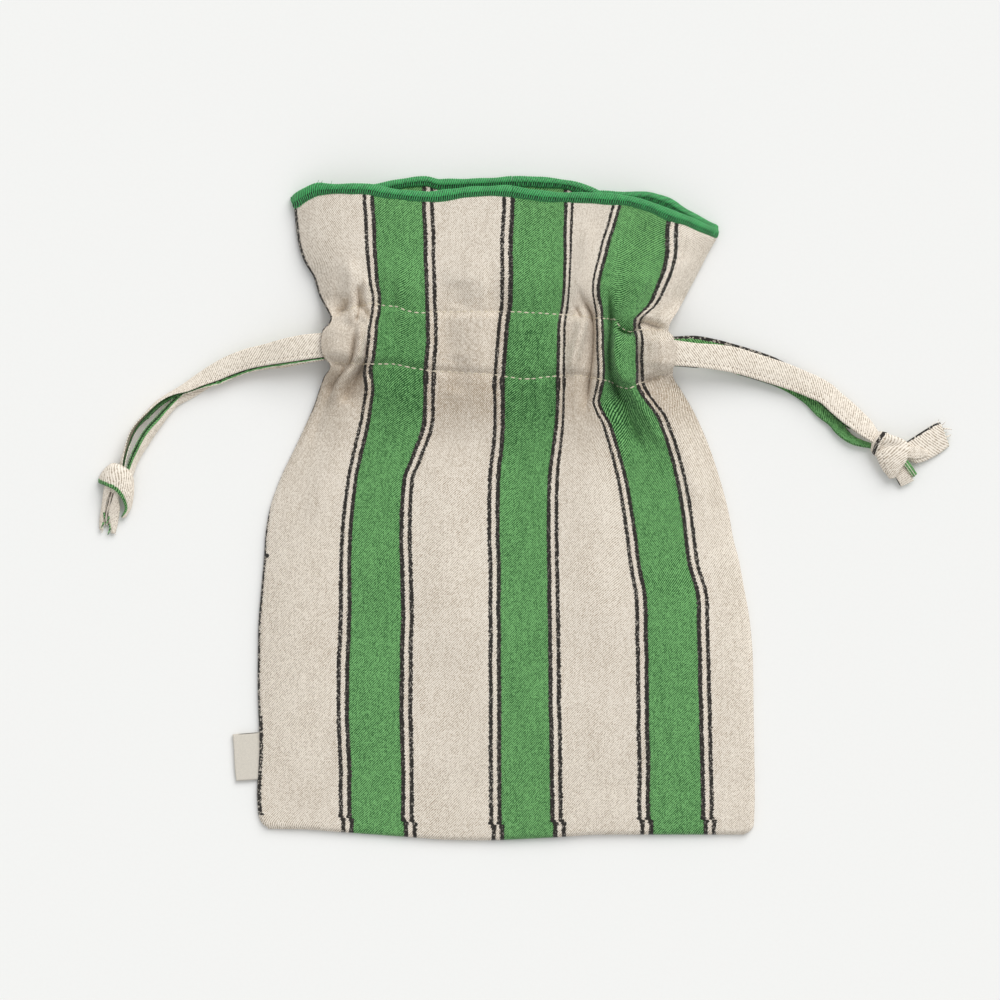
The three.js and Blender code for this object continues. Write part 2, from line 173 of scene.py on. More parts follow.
BAND_EDGES = [
    [[13.7, -63.8], [55.5, -64.6], [89.7, -63.8], [112.5, -63.3], [135.3, -61.0], [142.9, -59.3],
     [158.1, -55.8], [164.0, -54.8], [170.0, -53.9], [176.0, -54.2], [181.0, -53.6],
     [188.5, -52.9], [194.0, -52.4], [199.5, -51.3], [204.0, -51.3], [210.0, -52.3],
     [222.7, -53.4], [239.8, -54.5]],
    [[13.7, -34.9], [55.5, -35.5], [89.7, -35.0], [112.5, -35.7], [135.3, -34.8], [142.9, -32.1],
     [158.1, -27.2], [180.1, -26.6], [188.5, -26.0], [207.5, -26.6], [222.7, -26.8],
     [239.8, -27.2]],
    [[11.8, -6.8], [89.7, -7.0], [127.7, -7.4], [158.1, -5.3], [173.3, -5.1], [192.3, -3.6],
     [203.7, -2.5], [222.7, -2.4], [239.8, -1.7]],
    [[11.8, 21.5], [89.7, 20.3], [127.7, 19.8], [158.1, 22.0], [173.3, 22.4], [192.3, 22.6],
     [203.7, 23.9], [222.7, 24.9], [239.8, 25.6]],
    [[11.8, 49.8], [89.7, 48.6], [104.9, 46.2], [127.7, 43.1], [156.0, 36.4], [161.5, 33.6],
     [165.0, 32.6], [170.0, 33.8], [173.3, 34.5], [178.0, 34.6], [185.0, 34.3], [192.0, 34.2],
     [197.6, 34.0], [207.5, 32.4], [222.7, 35.1], [232.9, 38.2], [239.8, 40.1]],
    [[11.8, 79.1], [89.7, 77.0], [104.9, 73.2], [127.7, 70.1], [158.1, 61.8], [173.3, 52.2],
     [188.5, 52.2], [193.8, 51.2], [196.4, 51.6], [198.4, 53.6], [200.6, 56.2],
     [204.0, 58.8], [208.0, 60.6], [215.0, 63.6], [222.7, 65.2], [232.9, 65.5],
     [239.8, 67.5]],
]
FLAT_LINES = [-94.6, -63.9, -34.8, -7.1, 21.9, 49.8, 78.9, 94.6]

# Rows that run across the cloth: [x, up]
BOTTOM_ROW = [
    [-91.0, 2.6], [-77.7, 2.4], [-62.5, 1.3], [-39.0, -0.4], [-23.8, -1.5], [-10.1, -1.8],
    [15.8, -0.8], [36.7, 0.4], [89.5, 0.4],
]
LOWER_ROW = [
    [-66.7, 180.1], [-52.6, 179.4], [-44.3, 179.4], [-37.4, 178.2], [-29.8, 176.9],
    [-4.4, 175.2], [7.0, 173.7], [19.2, 174.8], [24.6, 175.2], [37.4, 173.1], [46.2, 170.2],
    [50.4, 172.1], [62.5, 175.6],
]
UPPER_ROW = [
    [-66.3, 196.3], [-55.7, 201.4], [-51.1, 202.2], [-47.3, 201.6], [-41.2, 201.0],
    [-38.2, 199.5], [-32.9, 198.7], [-26.0, 199.1], [-2.1, 199.1], [20.7, 198.0],
    [37.8, 196.5], [40.9, 196.3], [43.1, 193.8], [46.9, 191.9], [54.5, 192.3], [61.4, 191.9],
]
FRONT_RIM = [
    [-80.4, 241.7], [-76.2, 244.3], [-70.9, 246.2], [-54.9, 246.2], [-43.1, 244.3],
    [-29.1, 243.2], [-21.9, 243.9], [-12.7, 245.1], [-1.2, 245.4], [9.7, 243.9],
    [19.2, 243.0], [29.1, 242.8], [37.0, 242.4], [45.4, 241.7], [55.3, 239.0], [61.8, 236.3],
    [68.6, 234.1], [75.0, 231.4], [80.4, 229.5],
]
BACK_RIM = [
    [-80.8, 240.6], [-77.3, 243.6], [-70.9, 245.6], [-59.9, 245.8], [-49.2, 246.4],
    [-40.1, 248.5], [-31.0, 249.5], [-24.9, 248.2], [-10.1, 248.7], [6.3, 249.3],
    [16.1, 248.9], [22.6, 248.2], [31.7, 245.5], [35.5, 243.8], [42.4, 243.6],
    [52.6, 243.6], [59.9, 241.7], [68.6, 236.8], [80.8, 230.3],
]
FRONT_CROWN = [
    [0, 2.1], [12, 3.585], [30, 5.4], [60, 7.0], [100, 8.3], [129, 8.6], [146, 8.7],
    [160, 9.5], [172, 10.7], [176.5, 10.5], [199.5, 10.5], [211.5, 11.9], [236, 11.34],
    [246, 10.92],
]

# Folds as [height, width on the left, width on the right, sharpness, [[x, up], ...]]
FRONT_FOLDS = [
    # Left of the first band: creases over the tab, the tab and the ridge beside it
    [-3.0, 0.9, 1.6, 1.2, [[-56.4, 209.5], [-56.0, 203.5], [-54.4, 200.0], [-51.6, 196.0]]],
    [1.6, 1.4, 2.4, 2.0, [[-53.4, 213.0], [-53.4, 205.0], [-51.6, 199.0]]],
    [-3.2, 0.6, 0.7, 1.2, [[-56.2, 203.6], [-56.2, 199.5], [-57.2, 195.0]]],
    [-2.2, 0.6, 0.6, 1.2, [[-56.0, 201.8], [-54.6, 199.4], [-52.6, 196.4]]],
    [1.6, 0.9, 0.9, 1.8, [[-55.6, 202.5], [-54.2, 198.5], [-53.4, 195.0]]],
    [-4.0, 2.2, 1.1, 1.3, [[-69.0, 195.5], [-64.5, 198.4], [-61.0, 200.2], [-59.6, 205.0]]],
    [2.0, 3.0, 3.0, 2.0, [[-58.6, 219.0], [-58.6, 206.0], [-58.2, 193.0]]],
    [1.4, 5.5, 4.6, 2.4, [[-64.6, 195.0], [-65.0, 188.5], [-64.6, 181.5]]],
    [3.0, 1.5, 2.2, 2.0,
     [[-55.2, 196.0], [-55.4, 188.0], [-56.4, 182.5], [-58.2, 178.5], [-61.5, 174.8],
      [-64.6, 170.5], [-67.4, 163.5]]],
    [-3.2, 1.0, 0.8, 1.2,
     [[-57.0, 192.5], [-57.8, 185.0], [-58.8, 180.4], [-60.4, 178.0], [-63.0, 175.2],
      [-65.6, 171.6], [-68.4, 164.5]]],
    [-3.2, 1.0, 1.6, 1.3,
     [[-53.2, 190.5], [-53.9, 182.0], [-55.2, 177.4], [-57.6, 174.4], [-60.0, 171.5],
      [-62.8, 164.5]]],
    [-2.6, 2.2, 2.6, 1.8, [[-54.6, 180.0], [-57.5, 173.0], [-61.8, 164.0]]],
    [-1.3, 3.0, 2.4, 1.8, [[-68.2, 181.0], [-66.6, 174.6], [-66.4, 168.0]]],
    [1.2, 1.5, 2.0, 2.0, [[-51.4, 197.0], [-51.8, 188.0], [-52.4, 178.0], [-54.4, 166.0]]],
    [-2.2, 1.2, 1.2, 1.3, [[-69.5, 181.2], [-64.5, 179.2], [-60.0, 178.6]]],
    [-1.4, 4.0, 3.0, 2.0, [[-65.0, 178.0], [-70.0, 164.0], [-75.0, 148.0]]],
    [0.9, 4.5, 5.5, 2.0, [[-57.0, 168.0], [-61.0, 155.0], [-68.0, 138.0], [-74.0, 118.0]]],
    # Across the first band and the strip beside it
    [-0.9, 5.0, 4.0, 2.0, [[-44.5, 214.0], [-43.5, 201.0], [-46.0, 188.0]]],
    [0.8, 6.0, 6.0, 2.0, [[-38.0, 222.0], [-36.5, 200.0], [-37.0, 176.0], [-41.0, 150.0]]],
    [-0.9, 3.0, 4.5, 2.0, [[-24.0, 216.0], [-23.0, 203.0], [-23.5, 192.0], [-21.5, 178.0]]],
    [-1.0, 4.5, 5.0, 2.0, [[-17.5, 211.0], [-17.0, 203.0], [-17.7, 199.5]]],
    [-1.0, 4.5, 5.0, 2.0, [[-18.5, 183.0], [-19.5, 176.0], [-20.7, 168.0]]],
    [1.1, 6.5, 5.0, 2.0, [[-11.0, 224.0], [-10.5, 203.0], [-11.0, 176.0], [-15.0, 150.0]]],
    [-0.9, 3.2, 3.0, 2.0, [[-4.4, 216.0], [-3.6, 202.0], [-5.0, 186.0], [-6.0, 168.0]]],
    [-0.8, 3.5, 3.5, 2.0, [[-24.0, 174.0], [-27.0, 160.0], [-30.0, 146.0]]],
    # The middle band
    [0.9, 7.5, 7.5, 2.0, [[12.0, 224.0], [9.5, 200.0], [9.0, 176.0], [6.0, 146.0]]],
    [-0.7, 2.6, 3.4, 2.0, [[22.5, 210.0], [21.0, 199.5], [19.6, 188.0], [18.5, 176.0]]],
    [0.5, 3.0, 2.0, 2.0, [[10.5, 187.0], [14.5, 182.0], [18.0, 177.0]]],
    # Between the middle band and the right band
    [1.2, 4.0, 3.0, 2.0, [[31.5, 234.0], [30.4, 222.0], [27.8, 207.0], [27.0, 198.0]]],
    [-4.6, 2.9, 0.9, 1.2,
     [[26.6, 208.0], [30.8, 201.6], [32.6, 198.0], [33.2, 193.0], [33.0, 185.0], [32.4, 178.0],
      [31.4, 171.0], [30.0, 161.0]]],
    [-2.0, 0.9, 0.9, 1.4, [[26.0, 201.4], [28.6, 196.0]]],
    [2.6, 2.6, 1.8, 2.0,
     [[30.6, 201.5], [29.6, 196.5], [28.6, 191.5], [27.2, 187.0], [25.6, 181.5], [24.4, 173.0]]],
    [1.6, 1.0, 2.0, 2.0,
     [[34.6, 212.0], [35.4, 199.0], [35.7, 188.0], [35.9, 178.0], [35.4, 165.0]]],
    # The tuck that folds over the right band in the channel
    [-4.4, 2.2, 0.8, 1.3,
     [[38.4, 208.0], [39.8, 199.0], [39.8, 194.0], [39.2, 189.0], [39.2, 182.0], [39.6, 176.0],
      [41.6, 171.0], [44.6, 163.0]]],
    [2.6, 3.4, 3.4, 2.2, [[53.0, 215.0], [48.6, 204.0], [46.0, 197.5], [45.0, 192.5]]],
    [-3.9, 0.9, 0.9, 1.2,
     [[40.6, 193.4], [44.5, 191.2], [47.6, 190.8], [49.6, 193.6], [52.2, 197.6]]],
    [3.0, 0.7, 4.4, 2.4,
     [[43.0, 192.0], [41.2, 188.0], [41.0, 183.0], [41.8, 178.0], [43.6, 174.2], [47.4, 170.0]]],
    [-1.8, 0.9, 0.9, 1.3, [[48.4, 192.0], [49.6, 186.0], [50.6, 178.0], [49.6, 170.5]]],
    [-3.4, 3.6, 2.0, 1.6, [[41.0, 175.0], [43.5, 167.0], [47.0, 158.0], [52.0, 146.0]]],
    [1.8, 1.8, 2.6, 2.0, [[45.6, 173.0], [49.5, 166.0], [54.0, 158.0], [61.0, 146.0]]],
    # The right tab
    [1.6, 5.0, 4.6, 2.4, [[58.2, 190.5], [58.6, 184.0], [58.2, 177.0]]],
    [-3.6, 2.0, 1.2, 1.3, [[50.2, 195.9], [54.5, 194.4], [58.0, 193.4], [63.0, 192.2]]],
    [-2.2, 1.2, 1.2, 1.3, [[50.6, 171.8], [56.0, 174.2], [60.0, 175.6], [64.0, 176.6]]],
    [1.2, 3.4, 4.2, 2.0, [[57.0, 170.0], [62.0, 159.0], [68.0, 144.0], [74.0, 124.0]]],
    [1.2, 5.0, 4.5, 2.0, [[67.0, 222.0], [62.5, 208.0], [59.0, 199.0]]],
    # Broad waves of the body
    [0.9, 13.0, 13.0, 2.0, [[-22.0, 150.0], [-24.0, 110.0], [-20.0, 60.0]]],
    [-0.9, 12.0, 12.0, 2.0, [[-2.0, 160.0], [-4.0, 120.0], [2.0, 80.0]]],
    [0.8, 14.0, 12.0, 2.0, [[27.0, 150.0], [30.0, 110.0], [34.0, 70.0]]],
    [-1.0, 10.0, 12.0, 2.0, [[42.0, 160.0], [52.0, 120.0], [56.0, 80.0]]],
    [-0.7, 12.0, 14.0, 2.0, [[-55.0, 140.0], [-62.0, 100.0], [-60.0, 60.0]]],
]
BACK_FOLDS = [
    [1.3, 3.0, 3.0, 2.0, [[-60.0, 222.0], [-57.0, 200.0], [-58.0, 176.0], [-66.0, 140.0]]],
    [1.7, 2.2, 2.8, 1.6, [[-47.0, 226.0], [-45.0, 200.0], [-46.0, 174.0], [-53.0, 132.0]]],
    [1.2, 3.4, 2.4, 1.8, [[-27.0, 220.0], [-24.0, 199.0], [-25.0, 176.0], [-31.0, 126.0]]],
    [1.6, 2.6, 3.4, 1.6, [[-10.0, 228.0], [-8.0, 200.0], [-9.0, 172.0], [-13.0, 118.0]]],
    [1.1, 3.0, 3.0, 1.8, [[8.0, 218.0], [7.0, 200.0], [6.0, 176.0], [7.0, 132.0]]],
    [1.8, 2.6, 2.2, 1.6, [[28.0, 226.0], [26.0, 200.0], [27.0, 174.0], [31.0, 124.0]]],
    [1.5, 2.2, 3.0, 1.8, [[44.0, 222.0], [41.0, 199.0], [42.0, 176.0], [50.0, 130.0]]],
    [1.2, 2.8, 2.8, 2.0, [[61.0, 220.0], [56.0, 200.0], [56.0, 176.0], [66.0, 138.0]]],
]

# The middle of each free tail, as in its solid: [out, down, above the table]
TAIL_ROUTES = {
    "left_front_tail": [
        [9, 0, 9.8], [15.7, 0.5, 7.9], [30.5, 4.1, 4.8], [44.2, 10.8, 3.2], [55.8, 19.3, 3.0],
        [65, 28, 3.4], [70.3, 35.3, 3.6], [74, 43.3, 4.3],
    ],
    "left_back_tail": [
        [9, 1.2, 2.9], [15.6, 3, 1.9], [30, 6.8, 0.8], [43.2, 13.4, 0.7], [54.2, 21.6, 0.7],
        [63, 30.2, 0.9], [68.5, 36.8, 1.6], [73.3, 43.6, 2.9],
    ],
    "right_front_tail": [
        [10, 0.6, 9.8], [21.4, 2.7, 6.6], [33.2, 5.7, 4.4], [50.1, 11.8, 2.9], [57.2, 15.6, 2.9],
        [64, 21.3, 3.3], [70.6, 27.8, 3.7], [74.1, 31.1, 4.3],
    ],
    "right_back_tail": [
        [9.3, -1.6, 1.6], [21.4, -0.9, 1.1], [31.7, 2.3, 0.8], [40.4, 7.1, 0.7],
        [53.4, 17.7, 0.7], [59.8, 23.4, 0.8], [64.7, 27.6, 1.4], [72.1, 32.5, 2.9],
    ],
}
# The tapes' two edges as they lie: [x, y, above the table] of the fold, then of the open edge
TAIL_EDGES = {
    "left_front_tail": [
        [-69.2, 66.4, 9.9, -69.2, 57.0, 9.9], [-76.8, 65.8, 9.4, -76.5, 56.0, 9.5],
        [-84.4, 64.3, 8.4, -83.5, 55.0, 8.6], [-92.5, 62.1, 6.5, -90.5, 54.0, 6.8],
        [-99.5, 60.4, 5.0, -96.9, 52.8, 5.4], [-106.5, 57.7, 3.9, -103.3, 50.8, 4.5],
        [-112.9, 54.2, 3.0, -109.4, 48.3, 4.1], [-118.7, 50.4, 2.3, -115.5, 46.2, 4.2],
        [-123.9, 46.6, 1.7, -121.0, 43.8, 4.6], [-128.6, 43.7, 1.3, -126.0, 42.4, 5.0],
        [-132.7, 40.8, 1.0, -130.3, 40.2, 5.4], [-136.2, 37.3, 0.9, -134.1, 37.4, 5.7],
        [-139.4, 33.8, 0.9, -137.9, 34.0, 5.9], [-142.0, 30.3, 0.9, -140.5, 31.2, 6.0],
        [-144.0, 25.9, 1.0, -142.8, 27.4, 6.0], [-145.5, 21.9, 1.2, -144.2, 23.0, 5.8],
        [-146.9, 17.5, 1.6, -145.2, 18.1, 5.4], [-147.5, 14.0, 2.0, -145.8, 14.0, 4.8],
    ],
    "left_back_tail": [
        [-69.2, 56.1, 3.55, -69.2, 64.4, 3.55], [-76.8, 54.8, 3.1, -77.7, 63.4, 3.1],
        [-84.4, 53.4, 2.4, -85.8, 62.0, 2.4], [-92.5, 52.5, 1.7, -94.8, 60.0, 1.7],
        [-99.5, 51.0, 1.1, -102.4, 57.6, 1.1], [-106.5, 48.3, 0.8, -109.1, 54.4, 0.8],
        [-112.9, 45.8, 0.7, -114.6, 51.0, 0.9], [-118.1, 42.7, 0.6, -119.9, 47.5, 1.2],
        [-122.2, 40.5, 0.6, -123.9, 44.0, 2.0], [-125.7, 38.5, 0.6, -127.4, 40.6, 2.9],
        [-128.9, 35.3, 0.6, -130.9, 36.9, 3.8], [-131.5, 31.8, 0.6, -133.5, 33.8, 4.5],
        [-134.1, 28.0, 0.7, -136.6, 30.3, 5.0], [-136.4, 24.5, 0.8, -139.1, 26.8, 5.2],
        [-138.6, 21.2, 0.9, -141.1, 23.0, 5.3], [-140.2, 18.1, 1.1, -142.7, 19.5, 5.2],
        [-141.4, 15.2, 1.5, -144.0, 16.3, 4.9], [-142.3, 12.3, 2.0, -144.9, 13.7, 4.4],
    ],
    "right_front_tail": [
        [63.4, 63.7, 11.0, 63.4, 53.7, 11.0], [72.1, 62.5, 10.3, 71.6, 53.1, 10.3],
        [80.1, 62.0, 8.5, 79.1, 52.2, 8.5], [87.4, 61.0, 6.5, 85.6, 51.1, 6.5],
        [94.7, 58.8, 5.1, 91.9, 49.5, 5.1], [101.2, 56.8, 4.0, 98.2, 47.6, 4.1],
        [107.8, 54.6, 3.2, 104.3, 45.7, 3.6], [113.6, 52.2, 2.8, 109.6, 43.9, 3.4],
        [119.0, 49.8, 2.6, 114.7, 41.8, 3.8], [123.8, 47.1, 2.4, 119.3, 39.7, 4.2],
        [127.8, 43.5, 2.3, 123.4, 35.9, 4.6], [131.8, 40.1, 2.2, 127.3, 32.6, 4.8],
        [135.4, 36.7, 2.4, 131.0, 29.9, 5.0], [138.7, 33.3, 2.8, 134.3, 27.5, 5.2],
        [140.9, 30.0, 3.2, 137.2, 25.7, 5.2], [142.7, 27.5, 3.4, 139.8, 24.2, 5.0],
        [144.1, 25.0, 3.4, 141.6, 22.1, 4.6],
    ],
    "right_back_tail": [
        [63.4, 65.2, 2.35, 63.4, 58.0, 2.35], [72.1, 65.5, 1.9, 71.4, 57.0, 1.9],
        [80.1, 64.1, 1.3, 79.1, 55.1, 1.3], [87.4, 62.2, 1.0, 85.8, 53.3, 1.0],
        [94.7, 60.0, 0.9, 92.5, 50.8, 0.8], [102.0, 57.4, 0.8, 99.0, 47.6, 0.8],
        [108.5, 53.9, 0.8, 104.9, 45.2, 0.8], [114.0, 50.0, 0.8, 109.6, 42.6, 0.8],
        [118.7, 46.0, 0.8, 114.0, 39.5, 1.0], [122.7, 42.0, 0.8, 118.3, 35.1, 1.4],
        [126.3, 37.7, 0.8, 122.7, 31.7, 1.8], [128.1, 33.6, 0.9, 125.6, 28.4, 2.2],
        [129.9, 29.9, 1.1, 128.7, 25.9, 2.6], [132.5, 27.2, 1.4, 131.8, 24.2, 2.9],
        [135.8, 25.7, 1.8, 135.4, 23.2, 3.0], [139.0, 24.6, 2.2, 138.7, 22.6, 3.0],
        [141.2, 23.1, 2.6, 140.9, 21.0, 3.0],
    ],
}
# [share of the way, half the gap between the lips, how far the layer bulges, lower lip's reach]
TAIL_OPENINGS = {
    "left_front_tail": [[0, 0.42, 0, 1.0], [0.25, 0.42, 0.1, 1.2], [0.45, 0.55, 0.2, 1.6],
                        [0.58, 0.75, 0.3, 0], [0.66, 1.2, 0.2, -1.4], [0.8, 1.1, 0.2, -0.8],
                        [0.92, 0.9, 0.2, 0.2], [1, 0.6, 0.3, 0.3]],
    "left_back_tail": [[0, 0.42, 0, 0.1], [0.4, 0.42, 0, 0.1], [0.6, 0.6, 0.6, 0.2],
                       [0.9, 0.7, 0.9, 0.2], [1, 0.45, 0.6, 0.2]],
    "right_front_tail": [[0, 0.42, 0, -0.1], [0.5, 0.42, 0.2, -0.1], [0.8, 0.6, 0.4, 0],
                         [1, 0.45, 0.3, 0]],
    "right_back_tail": [[0, 0.42, 0, 0.1], [0.38, 0.42, 0, 0.1], [0.5, 0.5, 0, 0.3],
                        [0.75, 0.5, 0, 0.3], [0.9, 0.5, 0.2, 0.2], [1, 0.45, 0, 0.2]],
}
# The knots' cores: middle, radii and turn in degrees
KNOT_CORES = {
    "left": [(-147.6, 9.6, 3.0), (4.6, 5.8, 2.7), 25],
    "right": [(145.6, 20.6, 3.0), (4.6, 5.4, 2.7), -35],
}
# The bands of tape round them: how far one is crowned, where its weave starts, its outer and its
# inner finish, and [x, y, above the table] along its two edges
KNOT_BANDS = {
    "left_knot_wrap": [
        1.5, 0, "tape_green_lip", "tape_green",
        [[-149.6, 17.1, 0.6], [-149.0, 17.0, 3.4], [-147.2, 16.5, 5.4], [-145.2, 15.5, 5.6],
         [-142.6, 13.4, 4.0], [-141.8, 9.6, 2.6], [-142.0, 5.6, 1.8], [-143.0, 1.5, 1.2],
         [-144.8, -3.4, 0.9]],
        [[-155.6, 9.6, 0.6], [-154.9, 9.2, 2.8], [-153.2, 8.6, 4.8], [-151.2, 7.8, 6.2],
         [-149.0, 6.6, 6.6], [-147.0, 4.4, 6.0], [-145.7, 1.8, 4.6], [-145.4, -0.6, 3.0],
         [-146.9, -3.5, 1.0]],
    ],
    "left_front_cut_end": [
        0.5, 60, "tape_linen", "tape_inside",
        [[-149.8, 7.4, 5.2], [-150.7, 6.2, 4.6], [-152.2, 2.7, 3.6], [-152.9, -0.8, 2.7],
         [-153.5, -4.9, 1.9], [-153.7, -8.7, 1.3]],
        [[-152.6, 9.0, 4.6], [-153.3, 7.3, 3.6], [-154.2, 1.5, 2.2], [-154.7, -1.6, 1.5],
         [-155.1, -4.3, 1.0], [-155.2, -8.1, 0.7]],
    ],
    "left_back_cut_end": [
        0.6, 80, "tape_linen", "tape_inside",
        [[-148.6, 7.4, 5.4], [-149.3, 5.9, 4.8], [-150.4, 2.4, 3.8], [-151.6, -0.8, 2.8],
         [-151.6, -4.9, 1.9], [-150.7, -9.8, 1.2]],
        [[-146.6, 5.4, 5.0], [-147.5, 3.8, 4.2], [-147.2, -0.2, 2.8], [-147.8, -4.3, 1.6],
         [-148.3, -7.0, 1.2], [-149.0, -9.6, 0.9]],
    ],
    "left_end_lining": [
        0.3, 100, "cut_end_lining", "tape_linen",
        [[-151.2, 6.0, 3.6], [-152.6, 0.8, 2.4], [-153.4, -3.0, 1.6], [-153.4, -6.6, 1.0]],
        [[-149.0, 5.6, 3.6], [-150.4, 0.6, 2.4], [-151.4, -3.2, 1.6], [-151.0, -6.8, 1.0]],
    ],
    "right_knot_wrap": [
        1.3, 0, "tape_linen", "tape_inside",
        [[145.6, 27.9, 4.6], [149.2, 26.7, 5.6], [152.4, 24.9, 5.0], [153.5, 21.8, 5.0],
         [152.3, 18.0, 5.0], [150.2, 14.6, 4.6], [148.0, 11.4, 3.4]],
        [[141.9, 28.6, 3.4], [140.0, 25.6, 4.0], [139.0, 22.4, 3.0], [140.3, 20.4, 4.2],
         [141.5, 17.6, 4.2], [142.9, 14.8, 3.2], [145.6, 11.4, 2.2]],
    ],
    "right_knot_collar": [
        0.7, 20, "knot_collar", "tape_inside",
        [[145.4, 28.3, 5.0], [143.2, 25.6, 6.6], [141.6, 22.6, 6.4], [140.6, 19.6, 4.0]],
        [[141.2, 28.9, 3.8], [139.8, 26.6, 4.6], [138.9, 24.4, 4.2], [138.7, 22.6, 2.8]],
    ],
    "right_knot_under_wrap": [
        0.35, 30, "cut_end_edge", "tape_inside",
        [[147.4, 14.6, 3.0], [147.9, 12.2, 2.9], [149.0, 9.8, 2.2], [150.2, 8.0, 1.5]],
        [[152.4, 16.2, 3.4], [153.2, 14.0, 3.3], [154.2, 12.0, 2.7], [155.2, 10.4, 1.9]],
    ],
    "right_knot_lips": [
        0.45, 45, "knot_lips", "tape_green",
        [[151.4, 19.6, 3.8], [152.8, 18.0, 4.4], [154.6, 15.6, 4.1], [156.4, 13.0, 2.9]],
        [[149.8, 17.8, 3.8], [151.2, 16.0, 4.3], [152.8, 13.8, 4.0], [154.6, 11.4, 2.8]],
    ],
    "right_front_cut_end": [
        0.5, 60, "cut_end_edge", "tape_inside",
        [[150.2, 23.8, 4.4], [152.1, 25.0, 4.4], [156.5, 27.9, 3.6], [162.3, 31.5, 2.4],
         [165.2, 32.6, 1.8]],
        [[150.4, 20.2, 4.0], [152.1, 20.0, 4.0], [156.5, 17.0, 2.6], [163.8, 19.9, 1.4],
         [168.8, 23.5, 1.0]],
    ],
    "right_cut_end_fold": [
        0.35, 70, "tape_linen", "tape_inside",
        [[150.8, 22.4, 4.4], [153.4, 23.6, 4.5], [156.2, 23.4, 3.9], [160.4, 21.6, 2.7]],
        [[150.6, 19.0, 4.4], [153.4, 18.9, 4.5], [156.4, 18.6, 3.9], [160.6, 19.6, 2.6]],
    ],
    "right_back_cut_end": [
        0.2, 80, "tape_linen", "tape_inside",
        [[151.0, 18.6, 3.2], [153.4, 17.9, 2.6], [156.4, 16.9, 1.8], [162.0, 19.1, 1.0]],
        [[151.4, 21.4, 3.0], [154.4, 21.4, 2.4], [158.0, 21.0, 1.8], [163.4, 22.0, 1.0]],
    ],
}
# Frayed threads at the cut ends and the rim: [x, y, above the table, heading in degrees]
FRAYED_ENDS = {
    "left": [
        [-154.6, -7.6, 1.0, 258], [-153.8, -8.3, 1.2, 266], [-150.2, -9.3, 1.2, 282],
        [-149.4, -9.2, 1.0, 292], [-152.4, -5.6, 1.8, 262],
    ],
    "right": [
        [165.8, 31.4, 1.8, 25], [166.9, 28.6, 1.5, 20], [168.0, 25.4, 1.2, 15],
        [164.2, 32.2, 2.0, 70], [162.0, 31.2, 2.4, 75],
    ],
}
GREEN_ENDS = {
    "left": [
        [-151.4, -3.4, 2.4, 276], [-151.2, -6.2, 1.8, 278], [-153.3, -1.8, 2.6, 272],
        [-153.6, -5.6, 1.7, 280], [-150.9, -7.2, 1.5, 276],
    ],
    "right": [[166.4, 30.0, 1.6, 24], [167.5, 27.0, 1.3, 18]],
}
RIM_ENDS = [[-70.6, 122.6, 11.5, 80], [-71.4, 122.2, 11.6, 105], [-66.8, 122.4, 11.6, 60]]

# Stripes of the tapes' faces as [from, to, colour], by distance from the fold
TAPE_STRIPES = {
    "tape_linen": [],
    "tape_inside": [[3.0, 9.3, "green"], [7.8, 8.5, "ink"]],
    "tape_green": [[-1, 20, "green"]],
    "tape_green_lip": [[6.9, 10, "green"]],
    "tape_green_side": [[1.4, 20, "green"], [-1, 1.4, "ink"]],
    "knot_collar": [[1.2, 4.2, "ink"]],
    "knot_lips": [[0.3, 3.2, "green"], [3.9, 6.2, "green"], [6.9, 7.8, "green"]],
    "cut_end_edge": [[-1, 0.75, "ink"]],
    "cut_end_lining": [[1.6, 2.9, "ink"], [5.0, 6.2, "ink"]],
}
# The outer and inner finish of each free tail
TAIL_FINISHES = {
    "left_front_tail": ("tape_linen", "tape_inside"),
    "left_back_tail": ("tape_green_lip", "tape_inside"),
    "right_front_tail": ("tape_linen", "tape_inside"),
    "right_back_tail": ("tape_green_side", "tape_green"),
}


# Sizes and colours


def length_property(name, description, default, least):
    """A length that the user can change, given in millimetres"""
    return bpy.props.FloatProperty(
        name=name,
        description=description,
        default=default * MM,
        min=least * MM,
        unit="LENGTH",
        precision=5,
    )


class PouchSizes(bpy.types.PropertyGroup):
    """Sizes of the cloth, the thread and the tapes"""

    cloth_thickness: length_property("Cloth thickness", "Thickness of the linen", 0.5, 0.1)
    mesh_step: length_property(
        "Mesh step", "Distance between the columns of the cloth's mesh", 0.6, 0.3
    )
    edging_width: length_property("Edging width", "Width of the overlocked rim", 4.0, 1)
    edging_thickness: length_property(
        "Edging thickness", "Thickness of the overlocked rim", 1.9, 0.5
    )
    wrap_pitch: length_property(
        "Wrap pitch", "Distance between the thread's turns round the rim", 0.86, 0.3
    )
    stitch_pitch: length_property(
        "Stitch pitch", "Distance between the channel's stitches", 2.7, 1
    )
    stitch_length: length_property(
        "Stitch length", "Length of thread that shows in one stitch", 2.15, 0.5
    )
    tape_width: length_property("Tape width", "Width of the drawstring tapes", 8, 3)
    tape_thickness: length_property(
        "Tape cloth thickness", "Thickness of one layer of a folded tape", 0.34, 0.1
    )


def colour_property(name, description, default):
    """A colour that the user can change, given as red, green and blue from 0 to 1 in sRGB"""
    return bpy.props.FloatVectorProperty(
        name=name, description=description, default=default, subtype="COLOR_GAMMA", min=0, max=1
    )


